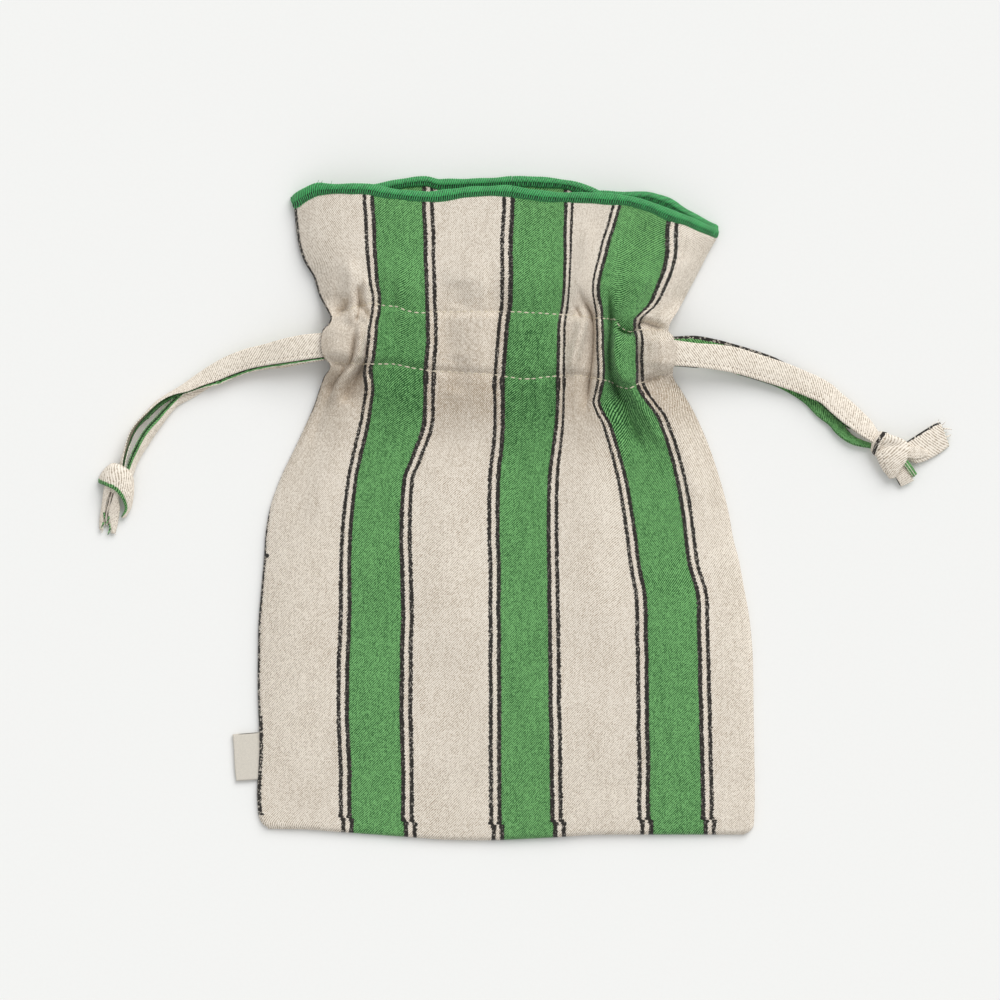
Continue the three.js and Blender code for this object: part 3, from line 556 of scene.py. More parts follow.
class PouchColours(bpy.types.PropertyGroup):
    """Colours of the cloth, the print, the threads and the label"""

    linen: colour_property("Linen", "Undyed cloth, its usual tone", (0.955, 0.92, 0.865))
    linen_dark: colour_property("Linen, dark threads", "Its darker threads", (0.60, 0.525, 0.43))
    green: colour_property("Green", "Printed bands", (0.51, 0.76, 0.47))
    green_dark: colour_property("Green, dark threads", "Darker threads", (0.07, 0.27, 0.10))
    ink: colour_property("Ink", "Fine dark lines beside the bands", (0.075, 0.065, 0.06))
    edging: colour_property("Edging", "Overlock thread of the rim", (0.235, 0.71, 0.37))
    # The edging's painted shade: the colour of its hollows, its holes and its side towards the
    # cloth
    edging_dark: colour_property("Edging, hollows", "Between its turns", (0.0, 0.14, 0.06))
    thread: colour_property("Thread", "Channel stitches", (0.97, 0.94, 0.83))
    label: colour_property("Label", "Woven ribbon in the side seam", (0.870, 0.843, 0.792))
    floor: colour_property("Floor", "Surface that the pouch lies on", (0.968, 0.968, 0.958))


def sizes():
    """The scene's sizes, in millimetres by name"""
    group = bpy.context.scene.pouch_sizes
    names = PouchSizes.__annotations__
    return {name: getattr(group, name) / MM for name in names}


# Curves


def smooth(value, low, high):
    """0 below low, 1 above high and a soft step between them"""
    share = np.clip((value - low) / (high - low), 0, 1)
    return share * share * (3 - 2 * share)


def mix(first, second, share):
    """A value between first and second"""
    return first + (second - first) * share


def bell(value, middle, width):
    """1 at the middle, falling smoothly to 0 on both sides"""
    return np.exp(-(((value - middle) / width) ** 2))


def slopes_through(step, value):
    """Slopes of a curve that never overshoots its stations; the last axis runs along it"""
    rise = np.diff(value, axis=-1) / step
    before = rise[..., :-1]
    after = rise[..., 1:]
    same = before * after > 0
    total = np.where(same, before + after, 1)
    slope = np.zeros_like(value)
    slope[..., 1:-1] = np.where(same, 2 * before * after / total, 0)
    slope[..., 0] = rise[..., 0]
    slope[..., -1] = rise[..., -1]
    return slope


def hermite(share, step, start, end, start_slope, end_slope):
    """A cubic between two stations"""
    square = share * share
    cube = square * share
    value = start * (2 * cube - 3 * square + 1) + end * (3 * square - 2 * cube)
    return value + step * (start_slope * (cube - 2 * square + share) + end_slope * (cube - square))


def line(stations):
    """A smooth line through [place, value] stations, for whole arrays of places"""
    place, value = np.array(stations, float).T
    step = np.diff(place)
    slope = slopes_through(step, value)

    def at(where):
        where = np.clip(where, place[0], place[-1])
        left = np.clip(np.searchsorted(place, where) - 1, 0, len(step) - 1)
        share = (where - place[left]) / step[left]
        return hermite(
            share, step[left], value[left], value[left + 1], slope[left], slope[left + 1]
        )

    return at


# How the cloth lies

edge_left = line(LEFT_EDGE)
edge_right = line(RIGHT_EDGE)
cloth_lines = [edge_left, *(line(band) for band in BAND_EDGES), edge_right]
crown = line(FRONT_CROWN)
bottom_row = line(BOTTOM_ROW)
lower_row = line(LOWER_ROW)
upper_row = line(UPPER_ROW)
front_rim = line(FRONT_RIM)
back_rim = line(BACK_RIM)


def across_at(across, up):
    """x of the cloth's own place across, at a distance up from the bottom seam"""
    flat = np.array(FLAT_LINES)
    step = np.diff(flat)
    value = np.stack([each(up) for each in cloth_lines], axis=-1)
    slope = slopes_through(step, value)
    left = np.clip(np.searchsorted(flat, across) - 1, 0, len(step) - 1)
    share = (across - flat[left]) / step[left]
    pick = np.arange(len(across))
    return hermite(
        share,
        step[left],
        value[pick, left],
        value[pick, left + 1],
        slope[pick, left],
        slope[pick, left + 1],
    )


def row_shift(x, along, rim):
    """How far a row of the cloth lies above its flat place"""
    places = np.array([0, 25, CHANNEL_START, CHANNEL_END, MOUTH_LINE])
    shifts = np.stack(
        [
            bottom_row(x),
            np.zeros_like(x),
            lower_row(x) - CHANNEL_START,
            upper_row(x) - CHANNEL_END,
            rim(x) - MOUTH_LINE,
        ]
    )
    below = np.clip(np.searchsorted(places, along) - 1, 0, len(places) - 2)
    share = smooth(along, places[below], places[below + 1])
    pick = np.arange(len(x))
    return mix(shifts[below, pick], shifts[below + 1, pick], share)


def cloth_plan(across, along, rim):
    """(x, up) of places on the flat cloth"""
    up = np.array(along, float)
    for _ in range(3):
        x = across_at(across, up)
        up = along + row_shift(x, along, rim)
    return across_at(across, up), up


def along_at(x, up, rim):
    """The flat cloth's place along that lies at (x, up)"""
    along = np.array(up, float)
    for _ in range(4):
        along = up - row_shift(x, along, rim)
    return along


def fold_height(x, up, folds):
    """Height of the listed folds at places in plan"""
    total = np.zeros_like(x)
    for height, left_width, right_width, power, points in folds:
        distance = np.full_like(x, 1e9)
        turned = np.zeros_like(x)
        run = np.zeros_like(x)
        walked = 0.0
        for (x0, y0), (x1, y1) in zip(points, points[1:]):
            dx = x1 - x0
            dy = y1 - y0
            length = math.hypot(dx, dy)
            share = np.clip(((x - x0) * dx + (up - y0) * dy) / length**2, 0, 1)
            away_x = x - x0 - share * dx
            away_y = up - y0 - share * dy
            away = np.hypot(away_x, away_y)
            closer = away < distance
            distance = np.where(closer, away, distance)
            turned = np.where(closer, away_x, turned)
            run = np.where(closer, walked + share * length, run)
            walked += length
        share = run / walked
        taper = smooth(share, -0.04, 0.24) * (1 - smooth(share, 0.76, 1.04))
        width = np.where(turned < 0, left_width, right_width)
        total += FOLD_GAIN * height * taper * np.exp(-((distance / width) ** power))
    return total


def back_level(up):
    """Height of the back panel's middle plane"""
    return BACK_LEVEL + BACK_LIFT * smooth(up, 148.5, 170.5)


def channel_share(along):
    """1 in the channel, 0 outside its two rows of stitches"""
    rising = smooth(along, CHANNEL_START - 0.4, CHANNEL_START + 3.5)
    return rising * (1 - smooth(along, CHANNEL_END - 3.0, CHANNEL_END + 0.4))


def stitch_pinch(along):
    """1 on the two rows of stitches, where the thread pulls the cloth in"""
    return bell(along, CHANNEL_START, 1.1) + bell(along, CHANNEL_END, 1.1)


def rumple(x, up, along):
    """Small unevenness of cloth that has been handled, and fine gathers at the stitches"""
    neck = smooth(up, 110, 172) * (1 - 0.6 * smooth(up, 212, 240))
    wave = 0.10 * np.sin(x / 3.1 + 0.8 * np.sin(up / 9.0)) * np.sin(up / 7.3 + 0.4 * np.sin(x / 6))
    fine = 0.06 * np.sin(x / 1.45 + up / 5.1) * np.sin(up / 3.9 - x / 6.7)
    broad = 0.22 * np.sin(x / 17.0 + up / 41.0) + 0.16 * np.sin(up / 23.0 - x / 37.0 + 1.0)
    pull = np.maximum(bell(along, CHANNEL_START - 4, 11), bell(along, CHANNEL_END + 4, 9))
    gather = 0.24 * np.sin(x / 0.92 + 1.6 * np.sin(x / 7.3) + up / 34.0)
    gather += 0.15 * np.sin(x / 0.57 + 1.1 * np.sin(x / 4.9) - up / 29.0)
    patchy = 0.55 + 0.45 * np.sin(x / 8.7 + 0.6)
    return broad + (wave + fine) * (0.35 + 0.65 * neck) + gather * pull * patchy


def side_opening(up):
    """How far the side edges stand open for the tapes, from 0 to 1"""
    rising = smooth(up, CHANNEL_START - 7.5, CHANNEL_START + 4)
    return rising * (1 - smooth(up, CHANNEL_END - 4.5, CHANNEL_END + 6))


def inward_at(x, up):
    """Distance in from the nearer side edge"""
    return np.clip(np.minimum(x - edge_left(up), edge_right(up) - x), 0, None)


def front_height(x, up, along):
    """Height of the front panel's middle plane"""
    half = (edge_right(up) - edge_left(up)) / 2
    inward = inward_at(x, up)
    curl = np.sqrt(np.clip(np.minimum(inward, along) / 1.4, 0, 1))
    dome = 1 - (1 - np.clip(inward / (half * 0.45), 0, 1)) ** 3
    lift = back_level(up) - BACK_LEVEL
    seam = mix(0.78, 2.1, curl) + lift
    sewn = mix(seam, crown(up), dome * curl)
    roll = np.where(x < 0, 1.0, 0.3) * channel_share(along)
    rolled = crown(up) - roll * (1 - np.sqrt(np.clip(inward / 2.6, 0, 1)))
    sewn += 0.8 * smooth(x, -60, -20) * curl * (1 - smooth(along, 3, 22))
    height = mix(sewn, rolled, side_opening(up))
    height += mix(MIDDLE_PUFF, CHANNEL_PUFF, smooth(np.abs(x), 42, 56)) * channel_share(along)
    folds = fold_height(x, up, FRONT_FOLDS) + rumple(x, up, along)
    height += folds * smooth(inward, -0.5, 6)
    return height - 0.45 * stitch_pinch(along) * smooth(inward, 0, 4)


def back_height(x, up, along):
    """Height of the back panel's middle plane"""
    inward = inward_at(x, up)
    frill = smooth(up, 202.5, MOUTH_LINE)
    ripple = 0.5 + 0.5 * np.cos(x / 7.5)
    height = back_level(up) + frill * ripple * 1.2 * smooth(inward, 0, 20)
    folds = np.clip(fold_height(x, up, BACK_FOLDS), 0, None)
    height += folds * smooth(inward, 0, 6) * smooth(up, 118, 150) * (1 - 0.5 * channel_share(along))
    height += 0.3 * stitch_pinch(along) * smooth(inward, 0, 4)
    return height - 0.5 * channel_share(along) * smooth(inward, 0, 4)


def front_point(across, along):
    """Places of the front panel's middle plane"""
    x, up = cloth_plan(across, along, front_rim)
    return np.stack([x, up - MIDDLE, front_height(x, up, along)], axis=1)


def back_point(across, along):
    """Places of the back panel's middle plane"""
    x, up = cloth_plan(across, along, back_rim)
    return np.stack([x, up - MIDDLE, back_height(x, up, along)], axis=1)


def passing_level(height, pick, side):
    """Gives a channel's level by x for the tape of one side: that of the lowest or highest fold
    that it passes while it is pulled out, as the neck draws in, or let in"""
    x = np.arange(-71.0, 68.0)
    levels = []
    for row in np.arange(177.0, 192.1, 1.5):
        up = np.full_like(x, row)
        along = np.clip(along_at(x, up, front_rim), CHANNEL_START + 2, CHANNEL_END - 2)
        levels.append(height(x, up, along))
    level = pick(levels, axis=0)
    out = x * side
    passed = []
    for place in out:
        first = (place - LET_IN) / NECK_EASED - 4
        last = min((place + PULLED_OUT) / NECK_DRAWN + 4, abs(EXIT[side][0]) - 3)
        window = (out >= first) & (out <= max(last, place + 1))
        passed.append(pick(level[window]))
    even = np.convolve(np.pad(passed, 4, mode="edge"), np.full(9, 1 / 9), mode="valid")
    return lambda where: np.interp(where, x, even)


front_roof = {side: passing_level(front_height, np.min, side) for side in (-1, 1)}
back_ground = {side: passing_level(back_height, np.max, side) for side in (-1, 1)}


def strip_point(point, across, along, gap, level, limits, end_level):
    """Lays a casing strip at a gap from its panel beside the stitches and at a level between
    them, within limits, and brings its ends to a level of their own"""
    height = mix(point[:, 2] + gap, level, channel_share(along))
    end = smooth(np.abs(across), 74, 86)
    point[:, 2] = mix(np.clip(height, *limits), end_level, end)
    return point


def front_casing_point(across, along):
    """Places of the strip that lines the front channel, below the panel and the tapes"""
    point = front_point(across, along)
    roof = np.minimum(front_roof[-1](point[:, 0]), front_roof[1](point[:, 0]))
    return strip_point(point, across, along, -0.95, roof - TAPE_ROOM, (3.9, None), 7.55)


def back_casing_point(across, along):
    """Places of the strip that lines the back channel, above the panel and the tapes"""
    point = back_point(across, along)
    ground = np.maximum(back_ground[-1](point[:, 0]), back_ground[1](point[:, 0]))
    return strip_point(point, across, along, 0.85, ground + TAPE_ROOM, (None, 5.6), 6.65)


# Meshes


def spaced(start, end, step, fine_places, fine_step, reach):
    """Places from start to end, closer together near some of them"""
    places = [start]
    while places[-1] < end - 1e-6:
        near = any(abs(places[-1] - place) < reach for place in fine_places)
        places.append(places[-1] + (fine_step if near else step))
    places[-1] = end
    return np.array(places)


def as_cut(across, along):
    """Flat places of cloth whose columns are its own"""
    return np.stack([across, along], axis=1)


def as_wound(around, run):
    """Flat places of a tape or rim, whose columns go round it"""
    return np.stack([run, around], axis=1)


def vertex_places(mesh):
    """The places of a mesh's vertices, in metres"""
    places = np.empty(len(mesh.vertices) * 3)
    mesh.vertices.foreach_get("co", places)
    return places.reshape(-1, 3)


def mesh_from(name, bm):
    """A new mesh from a bmesh, which is then freed"""
    mesh = bpy.data.meshes.new(name)
    bm.to_mesh(mesh)
    bm.free()
    return mesh


def grid_piece(name, columns, rows, place, flat=as_cut):
    """A new object from a bmesh grid. place and flat take arrays across and along, and give
    its vertices and their flat places, in millimetres."""
    bm = bmesh.new()
    bmesh.ops.create_grid(bm, x_segments=len(columns) - 1, y_segments=len(rows) - 1, size=1)
    mesh = mesh_from(name, bm)
    shares = (vertex_places(mesh) + 1) / 2
    across = np.interp(shares[:, 0], np.linspace(0, 1, len(columns)), columns)
    along = np.interp(shares[:, 1], np.linspace(0, 1, len(rows)), rows)
    mesh.vertices.foreach_set("co", (place(across, along) * MM).ravel())
    add_flat(mesh, flat(across, along))
    return finished(name, mesh)


def closed_mesh(name, bm):
    """The mesh of a closed bmesh, its faces turned outwards"""
    bmesh.ops.recalc_face_normals(bm, faces=bm.faces)
    return mesh_from(name, bm)


def add_flat(mesh, flat):
    """Writes each vertex's place on the flat material as the Flat UV map, in metres"""
    layer = mesh.uv_layers.new(name="Flat")
    corner = np.empty(len(mesh.loops), dtype=np.int32)
    mesh.loops.foreach_get("vertex_index", corner)
    layer.data.foreach_set("uv", (np.array(flat)[corner] * MM).ravel())


def finished(name, mesh):
    """Puts a mesh in the scene, smoothly shaded"""
    mesh.shade_smooth()
    mesh.update()
    obj = bpy.data.objects.new(name, mesh)
    bpy.context.scene.collection.objects.link(obj)
    return obj


def dress(obj, finish):
    """Gives a piece its finish and the material slot that it takes it from"""
    obj.data.materials.append(finish)
    return obj


def thicken(obj, thickness, offset=0.0, inside=None):
    """Gives a sheet its thickness, and its inner face a finish of its own"""
    solid = obj.modifiers.new("Thickness", "SOLIDIFY")
    solid.thickness = thickness * MM
    solid.offset = offset
    solid.use_even_offset = False
    if inside:
        obj.data.materials.append(inside)
        solid.material_offset = 1
    return obj


def close_tube(obj, ends=True):
    """Joins the seam of a grid that was bent to a tube, and closes its ends"""
    bm = bmesh.new()
    bm.from_mesh(obj.data)
    bmesh.ops.remove_doubles(bm, verts=bm.verts, dist=0.002 * MM)
    if ends:
        open_edges = [edge for edge in bm.edges if edge.is_boundary]
        bmesh.ops.holes_fill(bm, edges=open_edges, sides=0)
    bmesh.ops.recalc_face_normals(bm, faces=bm.faces)
    bm.to_mesh(obj.data)
    bm.free()
    obj.data.shade_smooth()
    return obj


def unit(vectors):
    """Vectors of length 1"""
    length = np.linalg.norm(vectors, axis=-1, keepdims=True)
    return vectors / np.maximum(length, 1e-9)


def surface_normal(surface, across, along):
    """Normals of a cloth surface at flat places"""
    step = 0.35
    left = surface(np.clip(across - step, -HALF_WIDTH, HALF_WIDTH), along)
    right = surface(np.clip(across + step, -HALF_WIDTH, HALF_WIDTH), along)
    below = surface(across, along - step)
    above = surface(across, along + step)
    return unit(np.cross(right - left, above - below))


def run_along(path):
    """Distance walked along a path at each of its points"""
    return np.concatenate([[0], np.cumsum(np.linalg.norm(np.diff(path, axis=0), axis=1))])


def spline(points, count):
    """Even steps along a smooth curve through points"""
    points = [np.array(point, float) for point in points]
    first = 2 * points[0] - points[1]
    last = 2 * points[-1] - points[-2]
    control = [first, *points, last]
    fine = []
    for index in range(1, len(control) - 2):
        p0, p1, p2, p3 = control[index - 1 : index + 3]
        for share in np.linspace(0, 1, 24, endpoint=False):
            square = share * share
            cube = square * share
            fine.append(
                0.5
                * (
                    2 * p1
                    + (p2 - p0) * share
                    + (2 * p0 - 5 * p1 + 4 * p2 - p3) * square
                    + (3 * p1 - p0 - 3 * p2 + p3) * cube
                )
            )
    fine.append(points[-1])
    fine = np.array(fine)
    run = run_along(fine)
    even = np.linspace(0, run[-1], count)
    return np.stack([np.interp(even, run, column) for column in fine.T], axis=1)


def nearest(run, along):
    """The index of the station of a run that is nearest to each place along it"""
    last = len(run) - 1
    return np.clip(np.round(np.interp(along, run, np.arange(last + 1))), 0, last).astype(int)


def halves(name, surface, given, build):
    """Builds the left and the right half of a cloth piece, and bakes each one's transform into its
    mesh.
    given is what build needs besides the surface: rows, a rim's chain or a row of stitches."""
    made = []
    for side, label in SIDES:
        span = (-HALF_WIDTH, SPLIT) if side < 0 else (SPLIT, HALF_WIDTH)
        obj = build(f"{name}_{label}", surface, given, span)
        bend_with_side(obj)
        made.append(obj)
    return made


def bend_with_side(obj):
    """Bakes the piece's transform into its mesh"""
    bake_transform(obj)


# Shader maths


class Value:
    """A socket that takes part in Python expressions"""

    def __init__(self, tree, socket):
        self.tree = tree
        self.socket = socket

    def math(self, operation, *others, first=None):
        """A Math node on this value and others"""
        node = self.tree.nodes.new("ShaderNodeMath")
        node.operation = operation
        values = [self if first is None else first, *others]
        for socket, value in zip(node.inputs, values):
            join(self.tree, value, socket)
        return Value(self.tree, node.outputs[0])

    def __add__(self, other):
        return self.math("ADD", other)

    __radd__ = __add__

    def __mul__(self, other):
        return self.math("MULTIPLY", other)

    __rmul__ = __mul__

    def __sub__(self, other):
        return self.math("SUBTRACT", other)

    def __rsub__(self, other):
        return self.math("SUBTRACT", self, first=other)

    def __truediv__(self, other):
        return self.math("DIVIDE", other)

    def __abs__(self):
        return self.math("ABSOLUTE")

    def above(self, edge, soft):
        """0 below edge and 1 above it, over a soft distance"""
        node = self.tree.nodes.new("ShaderNodeMapRange")
        node.interpolation_type = "SMOOTHSTEP"
        join(self.tree, self, node.inputs["Value"])
        join(self.tree, edge - soft / 2, node.inputs["From Min"])
        join(self.tree, edge + soft / 2, node.inputs["From Max"])
        return Value(self.tree, node.outputs["Result"])

    def within(self, low, high, soft):
        """1 between low and high"""
        return self.above(low, soft) * (1 - self.above(high, soft))


def join(tree, value, socket):
    """Links or sets a socket"""
    if isinstance(value, Value):
        tree.links.new(value.socket, socket)
    else:
        socket.default_value = value


def linear(colour):
    """A linear RGBA from an sRGB colour"""
    channels = [c / 12.92 if c <= 0.04045 else ((c + 0.055) / 1.055) ** 2.4 for c in colour]
    return (*channels, 1.0)


class Finish:
    """A material in the making"""

    def __init__(self, name, roughness=0.9, sheen=0.0, specular=0.3):
        self.material = bpy.data.materials.new(name)
        self.material.use_nodes = True
        self.tree = self.material.node_tree
        self.shader = self.tree.nodes["Principled BSDF"]
        self.shader.inputs["Roughness"].default_value = roughness
        self.shader.inputs["Specular IOR Level"].default_value = specular
        self.shader.inputs["Sheen Weight"].default_value = sheen
        self.shader.inputs["Sheen Roughness"].default_value = 0.6

    def add(self, kind, settings=None, output=0, **values):
        """Adds a node: its settings first, then the values or links of its sockets"""
        node = self.tree.nodes.new(kind)
        for key, setting in (settings or {}).items():
            setattr(node, key, setting)
        for key, value in values.items():
            socket = node.inputs[int(key[1:])] if key[1:].isdigit() else node.inputs[key]
            join(self.tree, value, socket)
        return Value(self.tree, node.outputs[output])

    def flat(self):
        """(across, along) of the piece's flat material, in millimetres"""
        uv = self.add("ShaderNodeUVMap", {"uv_map": "Flat"})
        across = self.add("ShaderNodeSeparateXYZ", output="X", Vector=uv)
        along = self.add("ShaderNodeSeparateXYZ", output="Y", Vector=uv)
        return across * 1000, along * 1000

    def vector(self, x, y, z=0.0):
        """A vector of three values"""
        return self.add("ShaderNodeCombineXYZ", X=x, Y=y, Z=z)

    def noise(self, vector, scale=1.0, detail=2.0, rough=0.5):
        """Smooth noise, 0.5 on average"""
        values = {"Vector": vector, "Scale": scale, "Detail": detail, "Roughness": rough}
        return self.add("ShaderNodeTexNoise", output="Fac", **values)

    def blotches(self, x, y, z=0.0, detail=2.0, rough=0.5):
        """Smooth noise at a place, 0.5 on average"""
        return self.noise(self.vector(x, y, z), detail=detail, rough=rough)

    def cells(self, x, y, z=0.0):
        """An even random value for each whole step of x and y"""
        place = self.vector(x.math("FLOOR"), y.math("FLOOR"), z)
        return self.add("ShaderNodeTexWhiteNoise", output="Value", Vector=place)

    def tint(self, share, first, second):
        """A colour between two: each a colour property or another mix"""
        settings = {"data_type": "RGBA"}
        ends = [c if isinstance(c, Value) else linear(c) for c in (first, second)]
        return self.add("ShaderNodeMix", settings, 2, _0=share, _6=ends[0], _7=ends[1])

    def cover(self, colour, height=None, strength=0.5, distance=0.2, rough=None):
        """Feeds the shader with what varies"""
        join(self.tree, colour, self.shader.inputs["Base Color"])
        if rough is not None:
            join(self.tree, rough, self.shader.inputs["Roughness"])
        if height is not None:
            values = {"Strength": strength, "Distance": distance * MM, "Height": height}
            join(self.tree, self.add("ShaderNodeBump", **values), self.shader.inputs["Normal"])
        return self.material


def hump(turns):
    """1 in the middle of each turn and 0 where the next one starts"""
    return 1 - abs(turns.math("FRACT") - 0.5) * 2


def woven(finish, across, along, pitch):
    """(height, thread tone, grains) of a linen twill whose ribs rise to the right. The tone is
    about 0.5 on average."""
    warp_place = across / pitch + finish.blotches(across * 0.5, along * 0.1) * 1.5
    weft_place = along / pitch + finish.blotches(across * 0.1, along * 0.5, 9.0) * 1.5
    warp_round = hump(warp_place)
    weft_round = hump(weft_place)
    rib = hump((weft_place - warp_place) * (1 / 3))
    over = rib.above(0.45, 0.3)
    height = over * warp_round + (1 - over) * weft_round
    grains = finish.cells(warp_place * 0.72, weft_place * 0.62)
    warp_tone = finish.blotches(across * 2.2, along * 0.2, detail=3.0, rough=0.75)
    weft_tone = finish.blotches(across * 0.2, along * 2.4, 7.0, detail=3.0, rough=0.75)
    specks = finish.blotches(across * 1.5, along * 1.2, 4.0, detail=3.0, rough=0.8)
    slub = finish.blotches(across * 1.3, along * 0.045, 13.0, rough=0.7)
    tone = over * warp_tone + (1 - over) * weft_tone
    thread = rib * 0.36 + grains * 0.18 + tone * 0.18 + specks * 0.14 + slub * 0.14
    return height, thread, grains


def band_place(across):
    """Distance from the middle of the nearest printed band"""
    turn = (across - BAND_MIDDLE) / BAND_SPACING + 0.5
    return turn.math("FRACT") * BAND_SPACING - BAND_SPACING / 2


def band_masks(finish, across, along, grains):
    """(green, ink) of the printed bands: a green band between pairs of fine dark lines"""
    ragged = finish.blotches(across * 0.9, along * 1.5, 11.0, detail=3.0, rough=0.75)
    cells = finish.cells(across * 1.9, along * 2.3, 5.0)
    drift = finish.blotches(across * 0.02, along * 0.055, detail=1.0)
    foot = 1 - along.above(5.6, 0.4)
    joint = along.within(171.2, 175.6, 0.8) + along.within(4.4, 6.6, 0.5)
    place = band_place(across + drift - 0.5 - foot * 1.05)
    away = abs(place) + (ragged - 0.5) * 0.6 + (cells - 0.5) * 0.34 + (grains - 0.5) * 0.3
    away = away - joint * 0.2
    printed = across.above(-80, 1)
    green = (1 - away.above(GREEN_HALF, 0.2)) * printed
    inner = away.within(*INNER_LINE, 0.25)
    outer = away.within(*OUTER_LINE, 0.25)
    thick = joint * (away.within(9.2, 11.5, 0.3) + away.within(12.5, 14.6, 0.3))
    dry = 1 - grains.above(0.88, 0.1) * (0.15 + outer * 0.2)
    worn = 1 - (ragged * 0.7 + cells * 0.4).above(0.9, 0.1) * (0.25 + outer * 0.25)
    ink = (inner + outer + thick).math("MINIMUM", 1.0) * worn * dry * printed
    return green, ink


def clamped(value):
    """A share kept between 0 and 1"""
    return value.math("MINIMUM", 1.0).math("MAXIMUM", 0.0)


def cloth_colours(finish, tone, shade, colours, contrast, level, gain=1.0):
    """(undyed, green) colours of the threads. tone is theirs, and shade is that of the place:
    random blotches, and on the printed linen also painted shade of the gathers.
    """
    light = tuple(min(channel * gain, 1) for channel in colours.linen)
    undyed = clamped((tone - 0.5) * contrast + level + shade)
    green = clamped((tone - 0.5) * 6.6 + 0.54 + shade)
    return (
        finish.tint(undyed, colours.linen_dark, light),
        finish.tint(green, colours.green_dark, colours.green),
    )


def linen_material(name, colours):
    """Printed linen, with painted shade over the gathered neck and just below the channel's lower
    row. The left selvage carries a broken dark line, which widens near the foot.
    """
    finish = Finish(name, roughness=0.92, sheen=0.1, specular=0.2)
    across, along = finish.flat()
    height, thread, grains = woven(finish, across, along, CLOTH_PITCH)
    broad = finish.blotches(across * 0.08, along * 0.05, 3.0)
    # Painted shade: the cloth is darkened over the gathered neck, and more just below the channel's
    # lower row, where its folds fall into shade
    gathered = along.within(146, 204, 34) * 0.23 + along.within(160, 176, 10) * 0.18
    shade = (broad - 0.5) * 0.35 - gathered
    natural, dyed = cloth_colours(finish, thread, shade, colours, 3.4, 0.765)
    green, ink = band_masks(finish, across, along, grains)
    reach = 0.6 + (1 - along.above(107, 4)) * 0.25 + (1 - along.above(46, 3)) * 0.6
    reach = reach - along.within(120, 157, 5) * 0.6 - along.within(174, 193, 4) * 0.5
    reach = reach + along.above(195, 3) * 0.65
    rough = finish.blotches(across * 0.9, along * 1.1, 2.0, detail=3.0, rough=0.75)
    border = 1 - (across + HALF_WIDTH - reach + (rough - 0.5) * 1.8).above(0, 0.25)
    border = border * (1 - (grains * 0.5 + rough * 0.6).above(0.7, 0.1) * 0.7)
    for x, y, size in ((-93.4, 104.5, 0.8), (-93.3, 5.6, 0.75), (-93.9, 7.6, 0.7)):
        blot = finish.vector(across - x, along - y)
        distance = finish.add("ShaderNodeVectorMath", {"operation": "LENGTH"}, "Value", Vector=blot)
        border = border + 1 - distance.above(size, 0.3)
    ink = clamped(ink + border * along.above(5.4, 0.5))
    printed = finish.tint(green, natural, dyed)
    colour = finish.tint(ink * 0.97, printed, colours.ink)
    return finish.cover(colour, height + thread, strength=0.3, distance=0.12)


def tape_material(name, colours, stripes=(), holes=0.0):
    """Linen tape. stripes are [from, to, "green" or "ink"] by distance from the fold, and holes
    is the strength of the row of needle holes beside its open edge."""
    finish = Finish(name, roughness=0.92, sheen=0.1, specular=0.2)
    along, across = finish.flat()
    height, thread, grains = woven(finish, across, along, TAPE_PITCH)
    broad = finish.blotches(across * 0.1, along * 0.12, 3.0)
    shade = (broad - 0.5) * 0.3
    colour, dyed = cloth_colours(finish, thread, shade, colours, 3.6, 0.84, 1.03)
    ragged = finish.blotches(across * 0.8, along * 1.6, 4.0, detail=3.0, rough=0.7)
    away = abs(across) + (ragged - 0.5) * 0.5 + (grains - 0.5) * 0.3
    worn = 1 - grains.above(0.8, 0.1) * 0.5
    for low, high, kind in stripes:
        share = away.within(low, high, 0.2)
        if kind == "green":
            colour = finish.tint(share, colour, dyed)
        else:
            colour = finish.tint(share * worn * 0.97, colour, colours.ink)
    if holes:
        dots = across.within(6.2, 6.6, 0.2) * (along / 1.9).math("FRACT").within(0.34, 0.6, 0.12)
        colour = finish.tint(dots * holes, colour, (0.42, 0.34, 0.26))
        height = height - dots
    return finish.cover(colour, height + thread, strength=0.3, distance=0.12)


def edging_material(name, colours, sizes_mm, chain):
    """Overlock thread: satin turns, with painted shade in the hollows between them and their plies,
    in the chain's holes, beside the chain and on the side towards the cloth
    """
    finish = Finish(name, roughness=0.5, sheen=0.15, specular=0.45)
    run, angle = finish.flat()
    turn = run / sizes_mm["wrap_pitch"] + angle * 0.5
    # Painted shade: darker gaps between the turns and between the plies, darker holes in the chain,
    # and darker bands beside the chain and on the rim's side towards the cloth
    painted_turn_gap = 1 - turn.math("FRACT").within(0.17, 0.83, 0.3)
    painted_ply_gap = 1 - (turn * 2 + 0.5).math("FRACT").within(0.12, 0.88, 0.2)
    pit = angle.within(chain - 0.5, chain + 0.5, 0.45)
    pit = pit * (run / sizes_mm["wrap_pitch"]).math("FRACT").within(0.12, 0.62, 0.25)
    border = angle.within(chain + 0.6, chain + 0.9, 0.3) + angle.within(4.7, 5.4, 0.3)
    strand = finish.blotches(run * 5.0, angle * 2.0)
    broad = finish.blotches(run * 0.3, angle * 0.2, 5.0, detail=1.0)
    # The painted shade, with random tone of the strands and broad patches added
    dark = painted_turn_gap + pit * 1.7 + border * 0.4 + painted_ply_gap * 0.25
    dark = dark + (0.5 - strand) * 1.2 + (0.5 - broad) * 0.5
    colour = finish.tint(clamped(dark), colours.edging, colours.edging_dark)
    return finish.cover(colour, strand, strength=0.25, distance=0.08)


def thread_material(name, colour, dark):
    """Twisted sewing thread"""
    finish = Finish(name, roughness=0.75, sheen=0.2, specular=0.3)
    place = finish.add("ShaderNodeTexCoord", output="Object")
    twist = finish.noise(place, scale=4200.0, detail=2.0)
    tone = finish.tint(twist.above(0.52, 0.4) * 0.6, colour, dark)
    return finish.cover(tone, twist, strength=0.3, distance=0.1)


